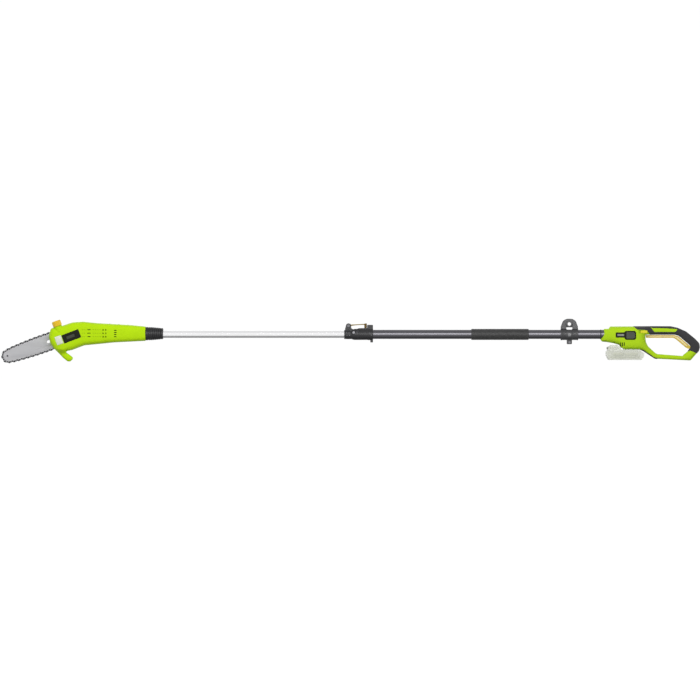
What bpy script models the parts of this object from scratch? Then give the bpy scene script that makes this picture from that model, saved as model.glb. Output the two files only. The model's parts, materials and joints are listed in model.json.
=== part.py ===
"""Telescoping pole saw: a battery pruning saw on a two-tube pole.

Frame: X runs along the pole from the saw head (-X) to the rear handle (+X), Z is up, and the
origin is on the pole's axis at the middle of the foam fore grip. Sizes are written in
millimetres and turned into metres by MM.
"""
import math

import bmesh
import bpy
from mathutils import Euler, Matrix, Vector

MM = 0.001
GAP = 0.3                     # clearance between touching pieces
ROUND_EDGE = 6                # edges rounded by this much or more get an extra step
HALF_SPLIT = 0.15             # each half shell stops this far from the parting plane

# pole
OUTER_R, OUTER_WALL = 18.2, 1.6
OUTER_X = (-519.0, 438.0)
INNER_R, INNER_WALL = 14.5, 1.4
INNER_X = (-1440.0, -370.0)
FOAM_HALF_LENGTH, FOAM_R = 113.4, 22.0

# saw: the bar's own frame has its origin on the drive axis, with the nose at -x
DRIVE_X, DRIVE_Z = -1706.8, 0.0
BAR_TILT = math.radians(19.44)
BAR_LENGTH = 255.0            # drive axis to nose sprocket
BAR_Y = 24.0                  # middle plane of the bar
BAR_THICK = 3.6
CHAIN_THICK = 6.2
LINK_PITCH = 9.525
NOSE_R = 17.8
DRIVE_TEETH, NOSE_TEETH = 6, 7
CROWN_TEETH, PINION_TEETH = 32, 10
STUD_X = -60.0

# head shells
HEAD_LEFT_Y, HEAD_RIGHT_Y = -36.0, 33.0
MOUNT_Y = 16.0                # flat face that carries the bar
COVER_Y = 38.0
WALL = 3.0
MOTOR_R = 24.0

# telescopic clamp
LEVER_PIVOT = (-598.0, 33.2)
CLAMP_R = 21.0

# carry bracket
BRACKET_X = 274.1
BRACKET_HALF = 34.5

# rear housing
HOUSING_HALF = 36.5
GRIP_HALF = 16.0
TRIGGER_PIVOT = (762.0, -53.0)
BATTERY_X = (415.0, 568.0)
BATTERY_HALF = 37.5
CELL_COUNT, CELL_R = 5, 9.1


# ---------------------------------------------------------------- scene and materials

for old in list(bpy.data.objects):
    bpy.data.objects.remove(old)

parts = bpy.data.collections.new("telescoping_pole_saw")
cutters = bpy.data.collections.new("cutters")
for group in (parts, cutters):
    bpy.context.scene.collection.children.link(group)

MATERIALS = {
    "lime": ((0.36, 0.66, 0.01), 0.35, 0.0),
    "black_plastic": ((0.03, 0.03, 0.032), 0.5, 0.0),
    "soft_black": ((0.025, 0.024, 0.028), 0.75, 0.0),
    "foam": ((0.015, 0.015, 0.016), 0.95, 0.0),
    "dark_tube": ((0.09, 0.085, 0.1), 0.35, 0.7),
    "aluminium": ((0.78, 0.79, 0.8), 0.3, 1.0),
    "steel": ((0.55, 0.55, 0.56), 0.3, 1.0),
    "chain_steel": ((0.07, 0.07, 0.075), 0.4, 0.8),
    "gold": ((0.55, 0.4, 0.13), 0.35, 0.9),
    "oil_cap": ((0.8, 0.5, 0.03), 0.4, 0.0),
    "amber": ((0.75, 0.55, 0.13), 0.35, 0.0),
    "clear_plastic": ((0.75, 0.8, 0.72), 0.3, 0.0),
    "battery": ((0.66, 0.67, 0.6), 0.35, 0.0),
    "label": ((0.02, 0.022, 0.02), 0.4, 0.0),
    "copper": ((0.6, 0.28, 0.12), 0.4, 0.9),
    "board": ((0.03, 0.2, 0.07), 0.5, 0.0),
    "cell": ((0.1, 0.3, 0.55), 0.4, 0.0),
}


def material(name):
    made = bpy.data.materials.get(name)
    if made is None:
        colour, roughness, metallic = MATERIALS[name]
        made = bpy.data.materials.new(name)
        made.use_nodes = True
        shader = made.node_tree.nodes["Principled BSDF"]
        shader.inputs["Base Color"].default_value = (*colour, 1.0)
        shader.inputs["Roughness"].default_value = roughness
        shader.inputs["Metallic"].default_value = metallic
    return made


# ---------------------------------------------------------------- making shapes

def place(name, mesh, look, location=(0, 0, 0), rotation=(0, 0, 0)):
    """Link a mesh whose vertices are in metres; the location is in millimetres."""
    mesh.name = name
    piece = bpy.data.objects.new(name, mesh)
    piece.location = Vector(location) * MM
    piece.rotation_euler = Euler(rotation)
    mesh.materials.clear()
    mesh.materials.append(material(look))
    parts.objects.link(piece)
    bpy.context.view_layer.update()
    return piece


def from_bmesh(name, shape, look, location=(0, 0, 0), rotation=(0, 0, 0)):
    mesh = bpy.data.meshes.new(name)
    shape.to_mesh(mesh)
    shape.free()
    return place(name, mesh, look, location, rotation)


def smooth(piece, degrees=35):
    piece.data.shade_smooth()
    piece.data.set_sharp_from_angle(angle=math.radians(degrees))
    return piece


def box(name, low, high, look="steel", round_edge=0.0, tilt=0.0, about=(0, 0)):
    """A box between two corners, with its tilt about Y through the point `about`."""
    low, high = Vector(low), Vector(high)
    shape = bmesh.new()
    bmesh.ops.create_cube(shape, size=1.0)
    bmesh.ops.scale(shape, vec=(high - low) * MM, verts=shape.verts)
    middle = (low + high) / 2
    offset = Vector((middle.x, middle.z))
    turned_x = offset.x * math.cos(tilt) - offset.y * math.sin(tilt)
    turned_z = offset.x * math.sin(tilt) + offset.y * math.cos(tilt)
    spot = (about[0] + turned_x, middle.y, about[1] + turned_z)
    piece = from_bmesh(name, shape, look, spot, (0, -tilt, 0))
    if round_edge:
        bevel = piece.modifiers.new("round", "BEVEL")
        bevel.width = round_edge * MM
        bevel.segments = 1
    return piece


def bar_box(name, low, high, look="steel", round_edge=0.0):
    """A box given in the bar's own frame."""
    return box(name, low, high, look, round_edge, BAR_TILT, (DRIVE_X, DRIVE_Z))


def bar_point(x, z, y=BAR_Y):
    """World position of a point of the bar's own frame."""
    cos, sin = math.cos(BAR_TILT), math.sin(BAR_TILT)
    return (DRIVE_X + x * cos - z * sin, y, DRIVE_Z + x * sin + z * cos)


AXES = {"X": (0, math.pi / 2, 0), "Y": (-math.pi / 2, 0, 0), "Z": (0, 0, 0),
        "BAR": (0, math.pi / 2 - BAR_TILT, 0), "BAR_UP": (0, -BAR_TILT, 0)}


def turned(name, profile, axis, location=(0, 0, 0), look="steel", steps=24, closed=False):
    """A turned piece. The profile is (radius, height) points, top to bottom on the outside."""
    shape = bmesh.new()
    points = [shape.verts.new((r * MM, 0, h * MM)) for r, h in profile]
    for a, b in zip(points, points[1:]):
        shape.edges.new((a, b))
    if closed:
        shape.edges.new((points[-1], points[0]))
    piece = from_bmesh(name, shape, look, location, AXES[axis])
    screw = piece.modifiers.new("turn", "SCREW")
    screw.steps = steps
    screw.render_steps = steps
    screw.use_merge_vertices = True
    screw.merge_threshold = 0.00001
    bake(piece)
    return smooth(piece)


def tube(name, outer, inner, start, end, axis="X", location=(0, 0, 0), look="steel", steps=24):
    ring = [(outer, end), (outer, start), (inner, start), (inner, end)]
    return turned(name, ring, axis, location, look, steps, closed=True)


def rod(name, radius, start, end, axis="X", location=(0, 0, 0), look="steel", steps=16):
    profile = [(0, end), (radius, end), (radius, start), (0, start)]
    return turned(name, profile, axis, location, look, steps)


def rounded(corners, step=36):
    """Outline points of a polygon of (x, z, radius) corners, each rounded by an arc."""
    outline = []
    count = len(corners)
    for i, (x, z, radius) in enumerate(corners):
        here = Vector((x, z))
        before = (Vector(corners[i - 1][:2]) - here).normalized()
        after = (Vector(corners[(i + 1) % count][:2]) - here).normalized()
        angle = before.angle(after)
        turn = math.pi - angle
        if radius == 0 or turn < math.radians(2):
            outline.append(here)
            continue
        reach = radius / math.tan(angle / 2)
        centre = here + (before + after).normalized() * (radius / math.sin(angle / 2))
        first = here + before * reach - centre
        side = 1 if first.y * before.x - first.x * before.y > 0 else -1
        pieces = max(2, math.ceil(math.degrees(turn) / step))
        for k in range(pieces + 1):
            bend = side * turn * k / pieces
            spoke = Vector((first.x * math.cos(bend) - first.y * math.sin(bend),
                            first.x * math.sin(bend) + first.y * math.cos(bend)))
            outline.append(centre + spoke)
    return outline


def circle(x, z, radius, count=16):
    return [Vector((x + radius * math.cos(2 * math.pi * k / count),
                    z + radius * math.sin(2 * math.pi * k / count))) for k in range(count)]


def weld(mesh):
    """Join a converted curve's loose caps to its sides, and bring it from mm to metres."""
    shape = bmesh.new()
    shape.from_mesh(mesh)
    bmesh.ops.remove_doubles(shape, verts=shape.verts, dist=0.01)
    bmesh.ops.scale(shape, vec=(MM, MM, MM), verts=shape.verts)
    bmesh.ops.recalc_face_normals(shape, faces=shape.faces[:])
    shape.to_mesh(mesh)
    shape.free()


def plate(name, outlines, y_low, y_high, look, edge=0.0, inset=0.0, tilt=0.0, about=(0, 0)):
    """A flat shape in the XZ plane: the first outline, with the others as its holes."""
    curve = bpy.data.curves.new(name, "CURVE")
    curve.dimensions = "2D"
    curve.fill_mode = "BOTH"
    curve.extrude = (y_high - y_low) / 2 - edge
    curve.bevel_depth = edge
    curve.bevel_resolution = 1 if edge >= ROUND_EDGE else 0
    curve.offset = -(edge + inset)
    for outline in outlines:
        spline = curve.splines.new("POLY")
        spline.points.add(len(outline) - 1)
        for point, (x, z) in zip(spline.points, outline):
            point.co = (x, z, 0, 1)
        spline.use_cyclic_u = True
    guide = bpy.data.objects.new(name, curve)
    bpy.context.scene.collection.objects.link(guide)
    mesh = evaluated(guide)
    bpy.data.objects.remove(guide)
    weld(mesh)
    middle = (about[0], (y_low + y_high) / 2, about[1])
    return place(name, mesh, look, middle, (math.pi / 2, -tilt, 0))


def bar_plate(name, outlines, y_low, y_high, look, edge=0.0, inset=0.0):
    """A plate whose outlines are in the bar's own frame."""
    return plate(name, outlines, y_low, y_high, look, edge, inset, BAR_TILT, (DRIVE_X, DRIVE_Z))


def cable(name, points, radius, look, resolution=1):
    curve = bpy.data.curves.new(name, "CURVE")
    curve.dimensions = "3D"
    curve.bevel_depth = radius
    curve.bevel_resolution = resolution
    curve.use_fill_caps = True
    spline = curve.splines.new("POLY")
    spline.points.add(len(points) - 1)
    for point, spot in zip(spline.points, points):
        point.co = (*spot, 1)
    guide = bpy.data.objects.new(name, curve)
    bpy.context.scene.collection.objects.link(guide)
    mesh = evaluated(guide)
    bpy.data.objects.remove(guide)
    weld(mesh)
    return smooth(place(name, mesh, look))


def evaluated(piece):
    bpy.context.view_layer.update()
    return bpy.data.meshes.new_from_object(piece.evaluated_get(bpy.context.evaluated_depsgraph_get()))


def bake(piece):
    """Replace a piece's mesh by its evaluated mesh, and drop its modifiers."""
    mesh = evaluated(piece)
    piece.modifiers.clear()
    piece.data = mesh
    return piece


def is_closed(mesh):
    shape = bmesh.new()
    shape.from_mesh(mesh)
    closed = len(shape.faces) > 0 and all(len(edge.link_faces) == 2 for edge in shape.edges)
    shape.free()
    return closed


def hide(piece):
    """Keep a piece as a guide only."""
    for home in list(piece.users_collection):
        home.objects.unlink(piece)
    cutters.objects.link(piece)
    piece.hide_render = True
    piece.display_type = "WIRE"
    return piece


def combine(piece, operation, tools):
    """Apply one Boolean after another: EXACT, or MANIFOLD where that leaves an open edge."""
    for tool in tools:
        step = piece.modifiers.new(operation.lower(), "BOOLEAN")
        step.operation = operation
        step.object = hide(tool)
        if not is_closed(evaluated(piece)):
            step.solver = "MANIFOLD"
        bake(piece)
    return piece


def cut(piece, *tools):
    return combine(piece, "DIFFERENCE", tools)


def fuse(piece, *tools):
    return combine(piece, "UNION", tools)


def half_shell(name, whole, side):
    """The half of a whole casing on the -Y side (side -1) or the +Y side (side 1)."""
    mesh = whole.data.copy()
    piece = place(name, mesh, "lime")
    piece.matrix_world = whole.matrix_world
    near, far = sorted((side * HALF_SPLIT, side * 200.0))
    keep = box(name + "_side", (-3000, near, -300), (1500, far, 300))
    return smooth(combine(piece, "INTERSECT", [keep]))


def narrow(piece, stations):
    """Scale a casing's width along X: stations are (x, factor) pairs in rising x."""
    shape = bmesh.new()
    shape.from_mesh(piece.data)
    shape.transform(piece.matrix_world)
    for x, _ in stations:
        everything = shape.verts[:] + shape.edges[:] + shape.faces[:]
        bmesh.ops.bisect_plane(shape, geom=everything, dist=0.000001,
                               plane_co=(x * MM, 0, 0), plane_no=(1, 0, 0))
    bmesh.ops.triangulate(shape, faces=shape.faces[:])
    for vertex in shape.verts:
        x = vertex.co.x / MM
        factor = stations[0][1]
        for (x0, f0), (x1, f1) in zip(stations, stations[1:]):
            if x >= x0:
                factor = f0 + (f1 - f0) * min(1.0, (x - x0) / (x1 - x0))
        vertex.co.y *= factor
    bmesh.ops.recalc_face_normals(shape, faces=shape.faces[:])
    shape.to_mesh(piece.data)
    shape.free()
    piece.matrix_world = Matrix()
    return piece


def joint_empty(name, spot, *children):
    """An empty on a joint's axis, with the pieces that move about it."""
    empty = bpy.data.objects.new(name, None)
    empty.location = Vector(spot) * MM
    parts.objects.link(empty)
    bpy.context.view_layer.update()
    for child in children:
        child.parent = empty
        child.matrix_parent_inverse = empty.matrix_world.inverted()
    return empty


# ---------------------------------------------------------------- pole

def make_pole():
    outer_inner = OUTER_R - OUTER_WALL
    tube("outer_tube", OUTER_R, outer_inner, *OUTER_X, look="dark_tube", steps=32)
    end = FOAM_HALF_LENGTH
    foam = [(FOAM_R - 1.5, end), (FOAM_R, end - 3), (FOAM_R, 3 - end), (FOAM_R - 1.5, -end),
            (OUTER_R + GAP, -end), (OUTER_R + GAP, end)]
    turned("foam_grip", foam, "X", look="foam", steps=32, closed=True)
    pole = tube("inner_tube", INNER_R, INNER_R - INNER_WALL, *INNER_X, look="aluminium", steps=32)
    bush = tube("tube_bush", outer_inner - GAP, INNER_R + GAP, -402, -374, look="black_plastic")
    return pole, bush


def make_cables():
    """The lead in the inner tube, and the coil that takes up the telescoping."""
    lead_points = [(-1580.5, 12, 6), (-1570, 11, 5), (-1555, 6, 3), (-1535, 2, 1), (-1500, 0, 0),
                   (-1100, 0, 0), (-700, 0, 0), (-366, 0, 0)]
    lead = cable("head_lead", lead_points, 3.0, "black_plastic", 2)
    turns, per_turn, coil_r = 8, 8, 11.5
    start, end = -361.0, 430.0
    coil_points = []
    for k in range(turns * per_turn + 1):
        share = k / (turns * per_turn)
        angle = 2 * math.pi * turns * share
        coil_points.append((start + (end - start) * share, coil_r * math.cos(angle),
                            coil_r * math.sin(angle)))
    cable("cable_coil", coil_points, 2.4, "black_plastic")
    return lead


# ---------------------------------------------------------------- telescopic clamp

def make_clamp():
    px, pz = LEVER_PIVOT
    body = rod("clamp_body", CLAMP_R, -585, -501, look="black_plastic", steps=28)
    collar = rod("clamp_collar", 18.6, -615, -580, steps=28)
    neck = plate("clamp_ears", [rounded([(-612, 0, 0), (-611, 25, 4), (px - 10, pz + 2, 0),
                 (px - 7, pz + 8, 2), (px, pz + 10.8, 4), (px + 7, pz + 8, 2),
                 (px + 10.5, pz, 2), (px + 10, 24, 3), (-574, 19, 3), (-574, 0, 0)], 40)],
                 -11.5, 11.5, "black_plastic", 1.5)
    rear_block = box("clamp_rear_block", (-524, -10, 5), (-501.4, 10, 38), round_edge=1.5)
    stub = box("clamp_stub", (-512, -8, -32), (-501.4, 8, -10), round_edge=1.5)
    fuse(body, collar, neck, rear_block, stub)
    inner_bore = rod("inner_bore", INNER_R + 0.4, -640, -500, steps=32)
    outer_bore = rod("outer_bore", OUTER_R + GAP, OUTER_X[0] - 0.6, -480, steps=32)
    cam_slot = box("cam_slot", (-616.5, -6, 8), (-577, 6, 60))
    pin_hole = rod("pin_hole", 3 + GAP, -30, 30, "Y", (px, 0, pz))
    screw_seat = rod("screw_seat", 6.4, -40, -17, "Y", (-577.5, 0, 7.1))
    screw_hole = rod("screw_hole", 2.4, -18, -15.2, "Y", (-577.5, 0, 7.1), steps=12)
    cut(body, inner_bore, outer_bore, cam_slot, pin_hole, screw_seat, screw_hole)
    smooth(body)
    screw = [(0, -15.5), (2, -15.5), (2, -17.3), (6, -17.3), (6, -20.6), (4.6, -22.2), (0, -22.2)]
    turned("clamp_screw", screw, "Y", (-577.5, 0, 7.1), "steel", 20)
    pin = [(0, 14.6), (6, 14.6), (6, 11.9), (3, 11.9), (3, -11.9), (6.4, -11.9), (6.4, -13.6),
           (5.2, -14.8), (0, -14.8)]
    turned("lever_pin", pin, "Y", (px, 0, pz), "steel", 20)


def make_lever():
    """The cam lever: an eccentric eye on the pivot pin, a bowed arm and a finger block."""
    px, pz = LEVER_PIVOT
    eye = [Vector((7.5 * math.cos(a), 7.5 * math.sin(a) - 1.5))
           for a in [math.radians(50 + 20 * k) for k in range(14)]]
    arm_low = [(8, -0.6), (30, 2.6), (56, 4.2), (62.8, 4.2), (62.8, -7.7), (64, -8.7)]
    arm_high = [(71.6, -8.7), (72.8, -7.7), (72.8, 9.2), (71.6, 10.3), (65, 10.3), (62.8, 8.3),
                (50, 7.2), (30, 5.8), (9, 5.4)]
    outline = [Vector((px + p[0], pz + p[1])) for p in eye + arm_low + arm_high]
    lever = plate("cam_lever", [outline, circle(px, pz, 3 + GAP, 20)], -5.6, 5.6, "gold", 0.4)
    joint_empty("clamp_lever_axis", (px, 0, pz), lever)
    pad = box("clamp_pad", (-610, -5.6, 12), (-586, 5.6, 23.8), "black_plastic", 0.6)
    cut(pad, rod("pad_bore", INNER_R + GAP, -640, -560, steps=32))


# ---------------------------------------------------------------- carry bracket

def make_carry_bracket():
    low_x, high_x = BRACKET_X - BRACKET_HALF, BRACKET_X + BRACKET_HALF
    band = rod("carry_bracket", 23.0, low_x, high_x, look="black_plastic", steps=28)
    dome = plate("bracket_dome", [rounded([(low_x, 0, 0), (low_x, 30, 8), (low_x + 9, 53, 14),
                 (BRACKET_X - 12, 62, 20), (BRACKET_X + 12, 62, 20), (high_x - 9, 53, 14),
                 (high_x, 30, 8), (high_x, 0, 0)])], -4, 4, "black_plastic", 1.2)
    boss = rod("bracket_boss", 13, -6, 6, "Y", (BRACKET_X, 0, 41.1))
    foot = box("bracket_foot", (BRACKET_X - 10, -11, -38.7), (BRACKET_X + 10, 11, -12),
               round_edge=2.5)
    fuse(band, dome, boss, foot)
    bore = rod("bracket_bore", OUTER_R + GAP, 200, 350, steps=32)
    eye = rod("bracket_eye", 6.9, -30, 30, "Y", (BRACKET_X, 0, 41.1))
    slot = plate("bracket_slot", [rounded([(BRACKET_X - 12, 27.8, 1), (BRACKET_X + 12, 27.8, 1),
                 (BRACKET_X + 12, 18.9, 5), (BRACKET_X - 12, 18.9, 5)][::-1])], -30, 30, "steel")
    split = box("bracket_split", (200, -1.2, -60), (350, 1.2, 0))
    hole = rod("bracket_hole", 3.3, -30, 30, "Y", (BRACKET_X, 0, -31))
    cut(band, bore, eye, slot, split, hole)
    smooth(band)
    profile = [(0, 14.5), (5, 14.5), (5, 11.4), (3, 11.4), (3, -11.4), (5.4, -11.4),
               (5.4, -14), (4.2, -15), (0, -15)]
    screw = turned("bracket_screw", profile, "Y", (BRACKET_X, 0, -31), "steel", 20)
    joint_empty("carry_bracket_axis", (BRACKET_X, 0, 0), band, screw)


# ---------------------------------------------------------------- bar and chain

def bar_half_width(x):
    """Half the bar's width at x in its own frame: slightly bellied between tail and nose."""
    belly_x, belly = -105.0, 26.4
    reach = (x - belly_x) / (-BAR_LENGTH - belly_x) if x < belly_x else (x - belly_x) / 150.0
    return belly - (belly - NOSE_R - 0.9) * abs(reach) ** 1.9


def loop_outline(grow, tail):
    """The bar's outline grown by `grow`, closed at the drive end by the tail's points."""
    upper = [(x, bar_half_width(x) + grow) for x in range(-60, -241, -20)]
    nose = []
    for k in range(13):
        angle = math.radians(82 + 196 * k / 12)
        nose.append((-BAR_LENGTH + (NOSE_R + grow) * math.cos(angle),
                     (NOSE_R + grow) * math.sin(angle)))
    lower = [(x, -z) for x, z in reversed(upper)]
    return [Vector(p) for p in tail + upper + nose + lower + [(x, -z) for x, z in reversed(tail)]]


def chain_tail(radius):
    return [(radius * math.cos(a), radius * math.sin(a))
            for a in [math.radians(k) for k in range(0, 100, 14)]][1:]


def make_saw():
    bar_tail = [(-25, 15), (-27, 19), (-44, 24)]
    outline = loop_outline(0, bar_tail)
    slot = [(-96, 4.2), (-34, 4.2), (-34, -4.2), (-96, -4.2)]
    slot = rounded([(x, z, 4.1) for x, z in slot], 45)
    pin_hole = circle(-72, -15, 2.7, 12)
    low, high = BAR_Y - BAR_THICK / 2, BAR_Y + BAR_THICK / 2
    bar = bar_plate("guide_bar", [outline, slot, pin_hole], low, high, "aluminium", 0.3)
    pocket = tube("nose_pocket", NOSE_R + 3, 4, -0.9, 0.9, "Y", bar_point(-BAR_LENGTH, 0))
    cut(bar, pocket)

    inside = loop_outline(0.4, chain_tail(20.2))
    straps = loop_outline(6.0, chain_tail(26.0))
    teeth = []
    for i, point in enumerate(straps):
        following = straps[(i + 1) % len(straps)]
        run = following - point
        teeth.append(point)
        if run.length > 1.6 * LINK_PITCH:
            along = run.normalized()
            outward = Vector((0, 1 if point.y > 0 else -1))
            heel = point + along * 5
            teeth += [heel, heel + along * 1.5 + outward * 3.0,
                      heel + along * 7.5 + outward * 2.2, heel + along * 8]
    half = CHAIN_THICK / 2
    chain = bar_plate("saw_chain", [teeth, inside], BAR_Y - half, BAR_Y + half, "chain_steel")

    pin = rod("tension_pin", 2.3, 21.2, 29.0, "Y", bar_point(-72, -15, 0), "steel", 16)
    block = bar_box("tension_block", (-77, 28.2, -19.5), (-67, 33.2, -10.5))
    fuse(pin, block)
    cut(pin, rod("tension_thread", 2.0 + GAP, -90, -50, "BAR", bar_point(0, -15, 30.7), steps=16))
    joint_empty("bar_tension_axis", bar_point(STUD_X, 0), bar, chain, pin)

    screw = [(0, -48.5), (2.0, -48.5), (2.0, -80.2), (4.2, -80.2), (4.2, -83), (0, -83)]
    tightener = turned("tension_screw", screw, "BAR", bar_point(0, -15, 30.7), "steel", 16)
    joint_empty("tension_screw_axis", bar_point(-65, -15, 30.7), tightener)

    nose = gear("nose_sprocket", NOSE_TEETH, 13.6, 16.9, 4 + GAP, 1.2, "steel")
    nose.location = Vector(bar_point(-BAR_LENGTH, 0)) * MM
    drive = gear("drive_sprocket", DRIVE_TEETH, 14.5, 19.0, 4 + GAP, 5.0, "steel")
    drive.location = Vector((DRIVE_X, BAR_Y, DRIVE_Z)) * MM
    return drive


def gear(name, teeth, root, tip, bore, thick, look):
    """A toothed wheel about Y, centred on its own origin."""
    rim = []
    for k in range(teeth):
        for share, radius in ((-0.34, root), (-0.14, tip), (0.14, tip), (0.34, root)):
            angle = 2 * math.pi * (k + share) / teeth
            rim.append(Vector((radius * math.cos(angle), radius * math.sin(angle))))
    return plate(name, [rim, circle(0, 0, bore, 20)], -thick / 2, thick / 2, look)


# ---------------------------------------------------------------- drive train

def make_drive_train(drive):
    shaft_spot = (DRIVE_X, 0, DRIVE_Z)
    profile = [(0, 30.2), (3.4, 30.2), (4, 29.6), (4, -12.6), (0, -12.6)]
    shaft = turned("sprocket_shaft", profile, "Y", shaft_spot, "steel", 20)
    crown = crown_gear("crown_gear", CROWN_TEETH, 12.0, 23.0)
    crown.location = Vector(shaft_spot) * MM
    joint_empty("drive_axis", (DRIVE_X, BAR_Y, DRIVE_Z), drive, shaft, crown)

    rotor_profile = [(0, -1579), (2.0, -1579), (2.0, -1590), (8, -1590), (8, -1598), (4, -1598),
                     (4, -1602), (17, -1602), (17, -1646), (3, -1646), (3, -1650), (2.0, -1650),
                     (2.0, -1697), (0, -1697)]
    rotor = turned("motor_rotor", rotor_profile, "X", look="copper", steps=24)
    rim = []
    for k in range(PINION_TEETH):
        for share, radius in ((-0.3, 4.4), (-0.12, 5.9), (0.12, 5.9), (0.3, 4.4)):
            angle = 2 * math.pi * (k + share) / PINION_TEETH
            rim.append(Vector((radius * math.cos(angle), radius * math.sin(angle))))
    pinion = plate("pinion", [rim, circle(0, 0, 2.3, 16)], -5, 5, "steel")
    pinion.rotation_euler = (math.pi / 2, 0, math.pi / 2)
    pinion.location = Vector((-1690, 0, 0)) * MM
    joint_empty("motor_axis", (-1650, 0, 0), rotor, pinion)

    can = [(MOTOR_R, -1590), (MOTOR_R, -1655), (3.4, -1655), (3.4, -1652), (MOTOR_R - 2, -1652),
           (MOTOR_R - 2, -1590)]
    motor_can = turned("motor_can", can, "X", look="steel", steps=32, closed=True)
    magnet_ring = tube("motor_magnets", MOTOR_R - 2 - GAP, 18, -1646, -1604, look="chain_steel")
    cap = tube("motor_end_cap", MOTOR_R, 2.4, -1589.7, -1583, look="black_plastic")
    bracket = plate("gear_bracket", [rounded([(-1726, -24, 6), (-1672, -24, 6), (-1672, 24, 6),
                    (-1726, 24, 6)]), circle(DRIVE_X, DRIVE_Z, 8.3)], -12.6, -8, "aluminium", 0.5)
    left = tube("bearing_left", 8, 4.3, -12.4, -8.2, "Y", shaft_spot, steps=24)
    right = tube("bearing_right", 8, 4.3, 11.6, 15.8, "Y", shaft_spot, steps=24)
    pump = box("oil_pump", (-1733, -9, -46), (-1708, 7, -32), "black_plastic", 1.0)
    fuse(pump, rod("pump_barrel", 4, -1740, -1700, look="steel", location=(0, -1, -39), steps=16))
    stud = [(0, 46.5), (3.2, 46.5), (3.9, 45.8), (3.9, 13.4), (7, 13.4), (7, 10.2), (0, 10.2)]
    bolt = turned("bar_stud", stud, "Y", bar_point(STUD_X, 0, 0), "steel", 20)
    return [motor_can, magnet_ring, cap, bracket, left, right, pump, bolt]


def crown_gear(name, teeth, inner, outer):
    """A face gear: a disc whose -Y face rises and falls in radial teeth."""
    tip_y, root_y, back_y, bore = 6.4, 8.4, 11.0, 4.3
    shape = bmesh.new()
    count = teeth * 2
    rings = []
    for radius, ys in ((bore, (root_y, root_y)), (inner, (tip_y, root_y)), (outer, (tip_y, root_y)),
                       (outer, (back_y, back_y)), (bore, (back_y, back_y))):
        ring = []
        for k in range(count):
            angle = 2 * math.pi * k / count
            ring.append(shape.verts.new((radius * MM * math.cos(angle), ys[k % 2] * MM,
                                         radius * MM * math.sin(angle))))
        rings.append(ring)
    for here, there in zip(rings, rings[1:] + rings[:1]):
        for k in range(count):
            after = (k + 1) % count
            shape.faces.new((here[k], here[after], there[after], there[k]))
    bmesh.ops.triangulate(shape, faces=shape.faces[:])
    bmesh.ops.recalc_face_normals(shape, faces=shape.faces[:])
    return from_bmesh(name, shape, "steel")


# ---------------------------------------------------------------- head

HEAD_CORNERS = [(-1400, 28.4, 0), (-1455, 33.2, 60), (-1591, 42.5, 60), (-1645, 49.5, 40),
                (-1689, 47.5, 40), (-1728, 34, 30), (-1774, 24.5, 14), (-1782, -9, 30),
                (-1776, -34, 30), (-1761, -56, 18), (-1738, -76, 14), (-1712, -72, 14),
                (-1689, -61, 16), (-1640, -37.5, 20), (-1563, -34, 40), (-1523, -29.2, 50),
                (-1400, -24.9, 0)]
HEAD_TAPER = [(-1900, 1.0), (-1600, 1.0), (-1399, 0.74)]


def make_head():
    outline = [rounded(HEAD_CORNERS)]
    whole = plate("head_whole", outline, HEAD_LEFT_Y, HEAD_RIGHT_Y, "lime", 10)
    narrow(whole, HEAD_TAPER)
    hook = plate("hook", [rounded([(-1758, -58, 0), (-1725, -92, 15), (-1708, -106.5, 6),
                 (-1697, -107, 6), (-1686, -96, 5), (-1690, -88, 4), (-1702, -87, 5),
                 (-1709, -74, 4), (-1690, -50, 0), (-1740, -40, 0)])], -15, 9.5, "lime", 3)
    bar_side = box("bar_side", (-1900, MOUNT_Y, -200), (-1664, 60, 200))
    fuse(whole, hook)
    cut(whole, bar_side)
    pad = bar_box("bar_pad", (STUD_X - 12, 14, -9.5), (STUD_X + 12, 21.9, 9.5))
    fuse(whole, pad)

    inner_corners = [(-1422, 30.2, 0)] + HEAD_CORNERS[1:-1] + [(-1422, -25.7, 0)]
    inside = plate("head_inside", [rounded(inner_corners)], HEAD_LEFT_Y + WALL,
                   HEAD_RIGHT_Y - WALL, "lime", 8, inset=WALL)
    narrow(inside, HEAD_TAPER)
    cut(inside, box("bar_wall", (-1900, MOUNT_Y - WALL, -200), (-1661, 60, 200)))
    tube_socket = rod("tube_socket", INNER_R + GAP, -1450, -1390, steps=32)
    bearing_seat = rod("bearing_seat", 8.3, 5, 30, "Y", (DRIVE_X, 0, DRIVE_Z), steps=24)
    stud_hole = rod("stud_hole", 4.3, 5, 30, "Y", bar_point(STUD_X, 0, 0))
    stud_head = rod("stud_head", 7.4, 8, 13.8, "Y", bar_point(STUD_X, 0, 0))
    filler = rod("filler_hole", 9.2, 30, 70, "BAR_UP", bar_point(-25.5, 0, -19))
    cap_seat = rod("cap_seat", 17, 42.3, 70, "BAR_UP", bar_point(-25.5, 0, -19), steps=24)
    window = bar_box("window_hole", (-54.6, -50, -28.2), (-27.9, -30, 6.4))
    cut(whole, inside, tube_socket, bearing_seat, stud_hole, stud_head, filler, cap_seat, window)
    cut(whole, vent_slots())
    left = half_shell("head_shell_left", whole, -1)
    right = half_shell("head_shell_right", whole, 1)
    hide(whole)

    pane = bar_box("oil_window", (-54.3, -36.6, -27.9), (-28.2, -33.4, 6.1), "clear_plastic", 0.6)
    label = box("head_label", (-33, -37.3, -16), (33, -36.3, 16), "label", 0.3,
                math.radians(20), (-1695, -7.3))
    ferrule = make_ferrule()
    tank, cover = make_oil_tank(), make_sprocket_cover()
    return [left, right, pane, label, ferrule, tank, cover]


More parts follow.
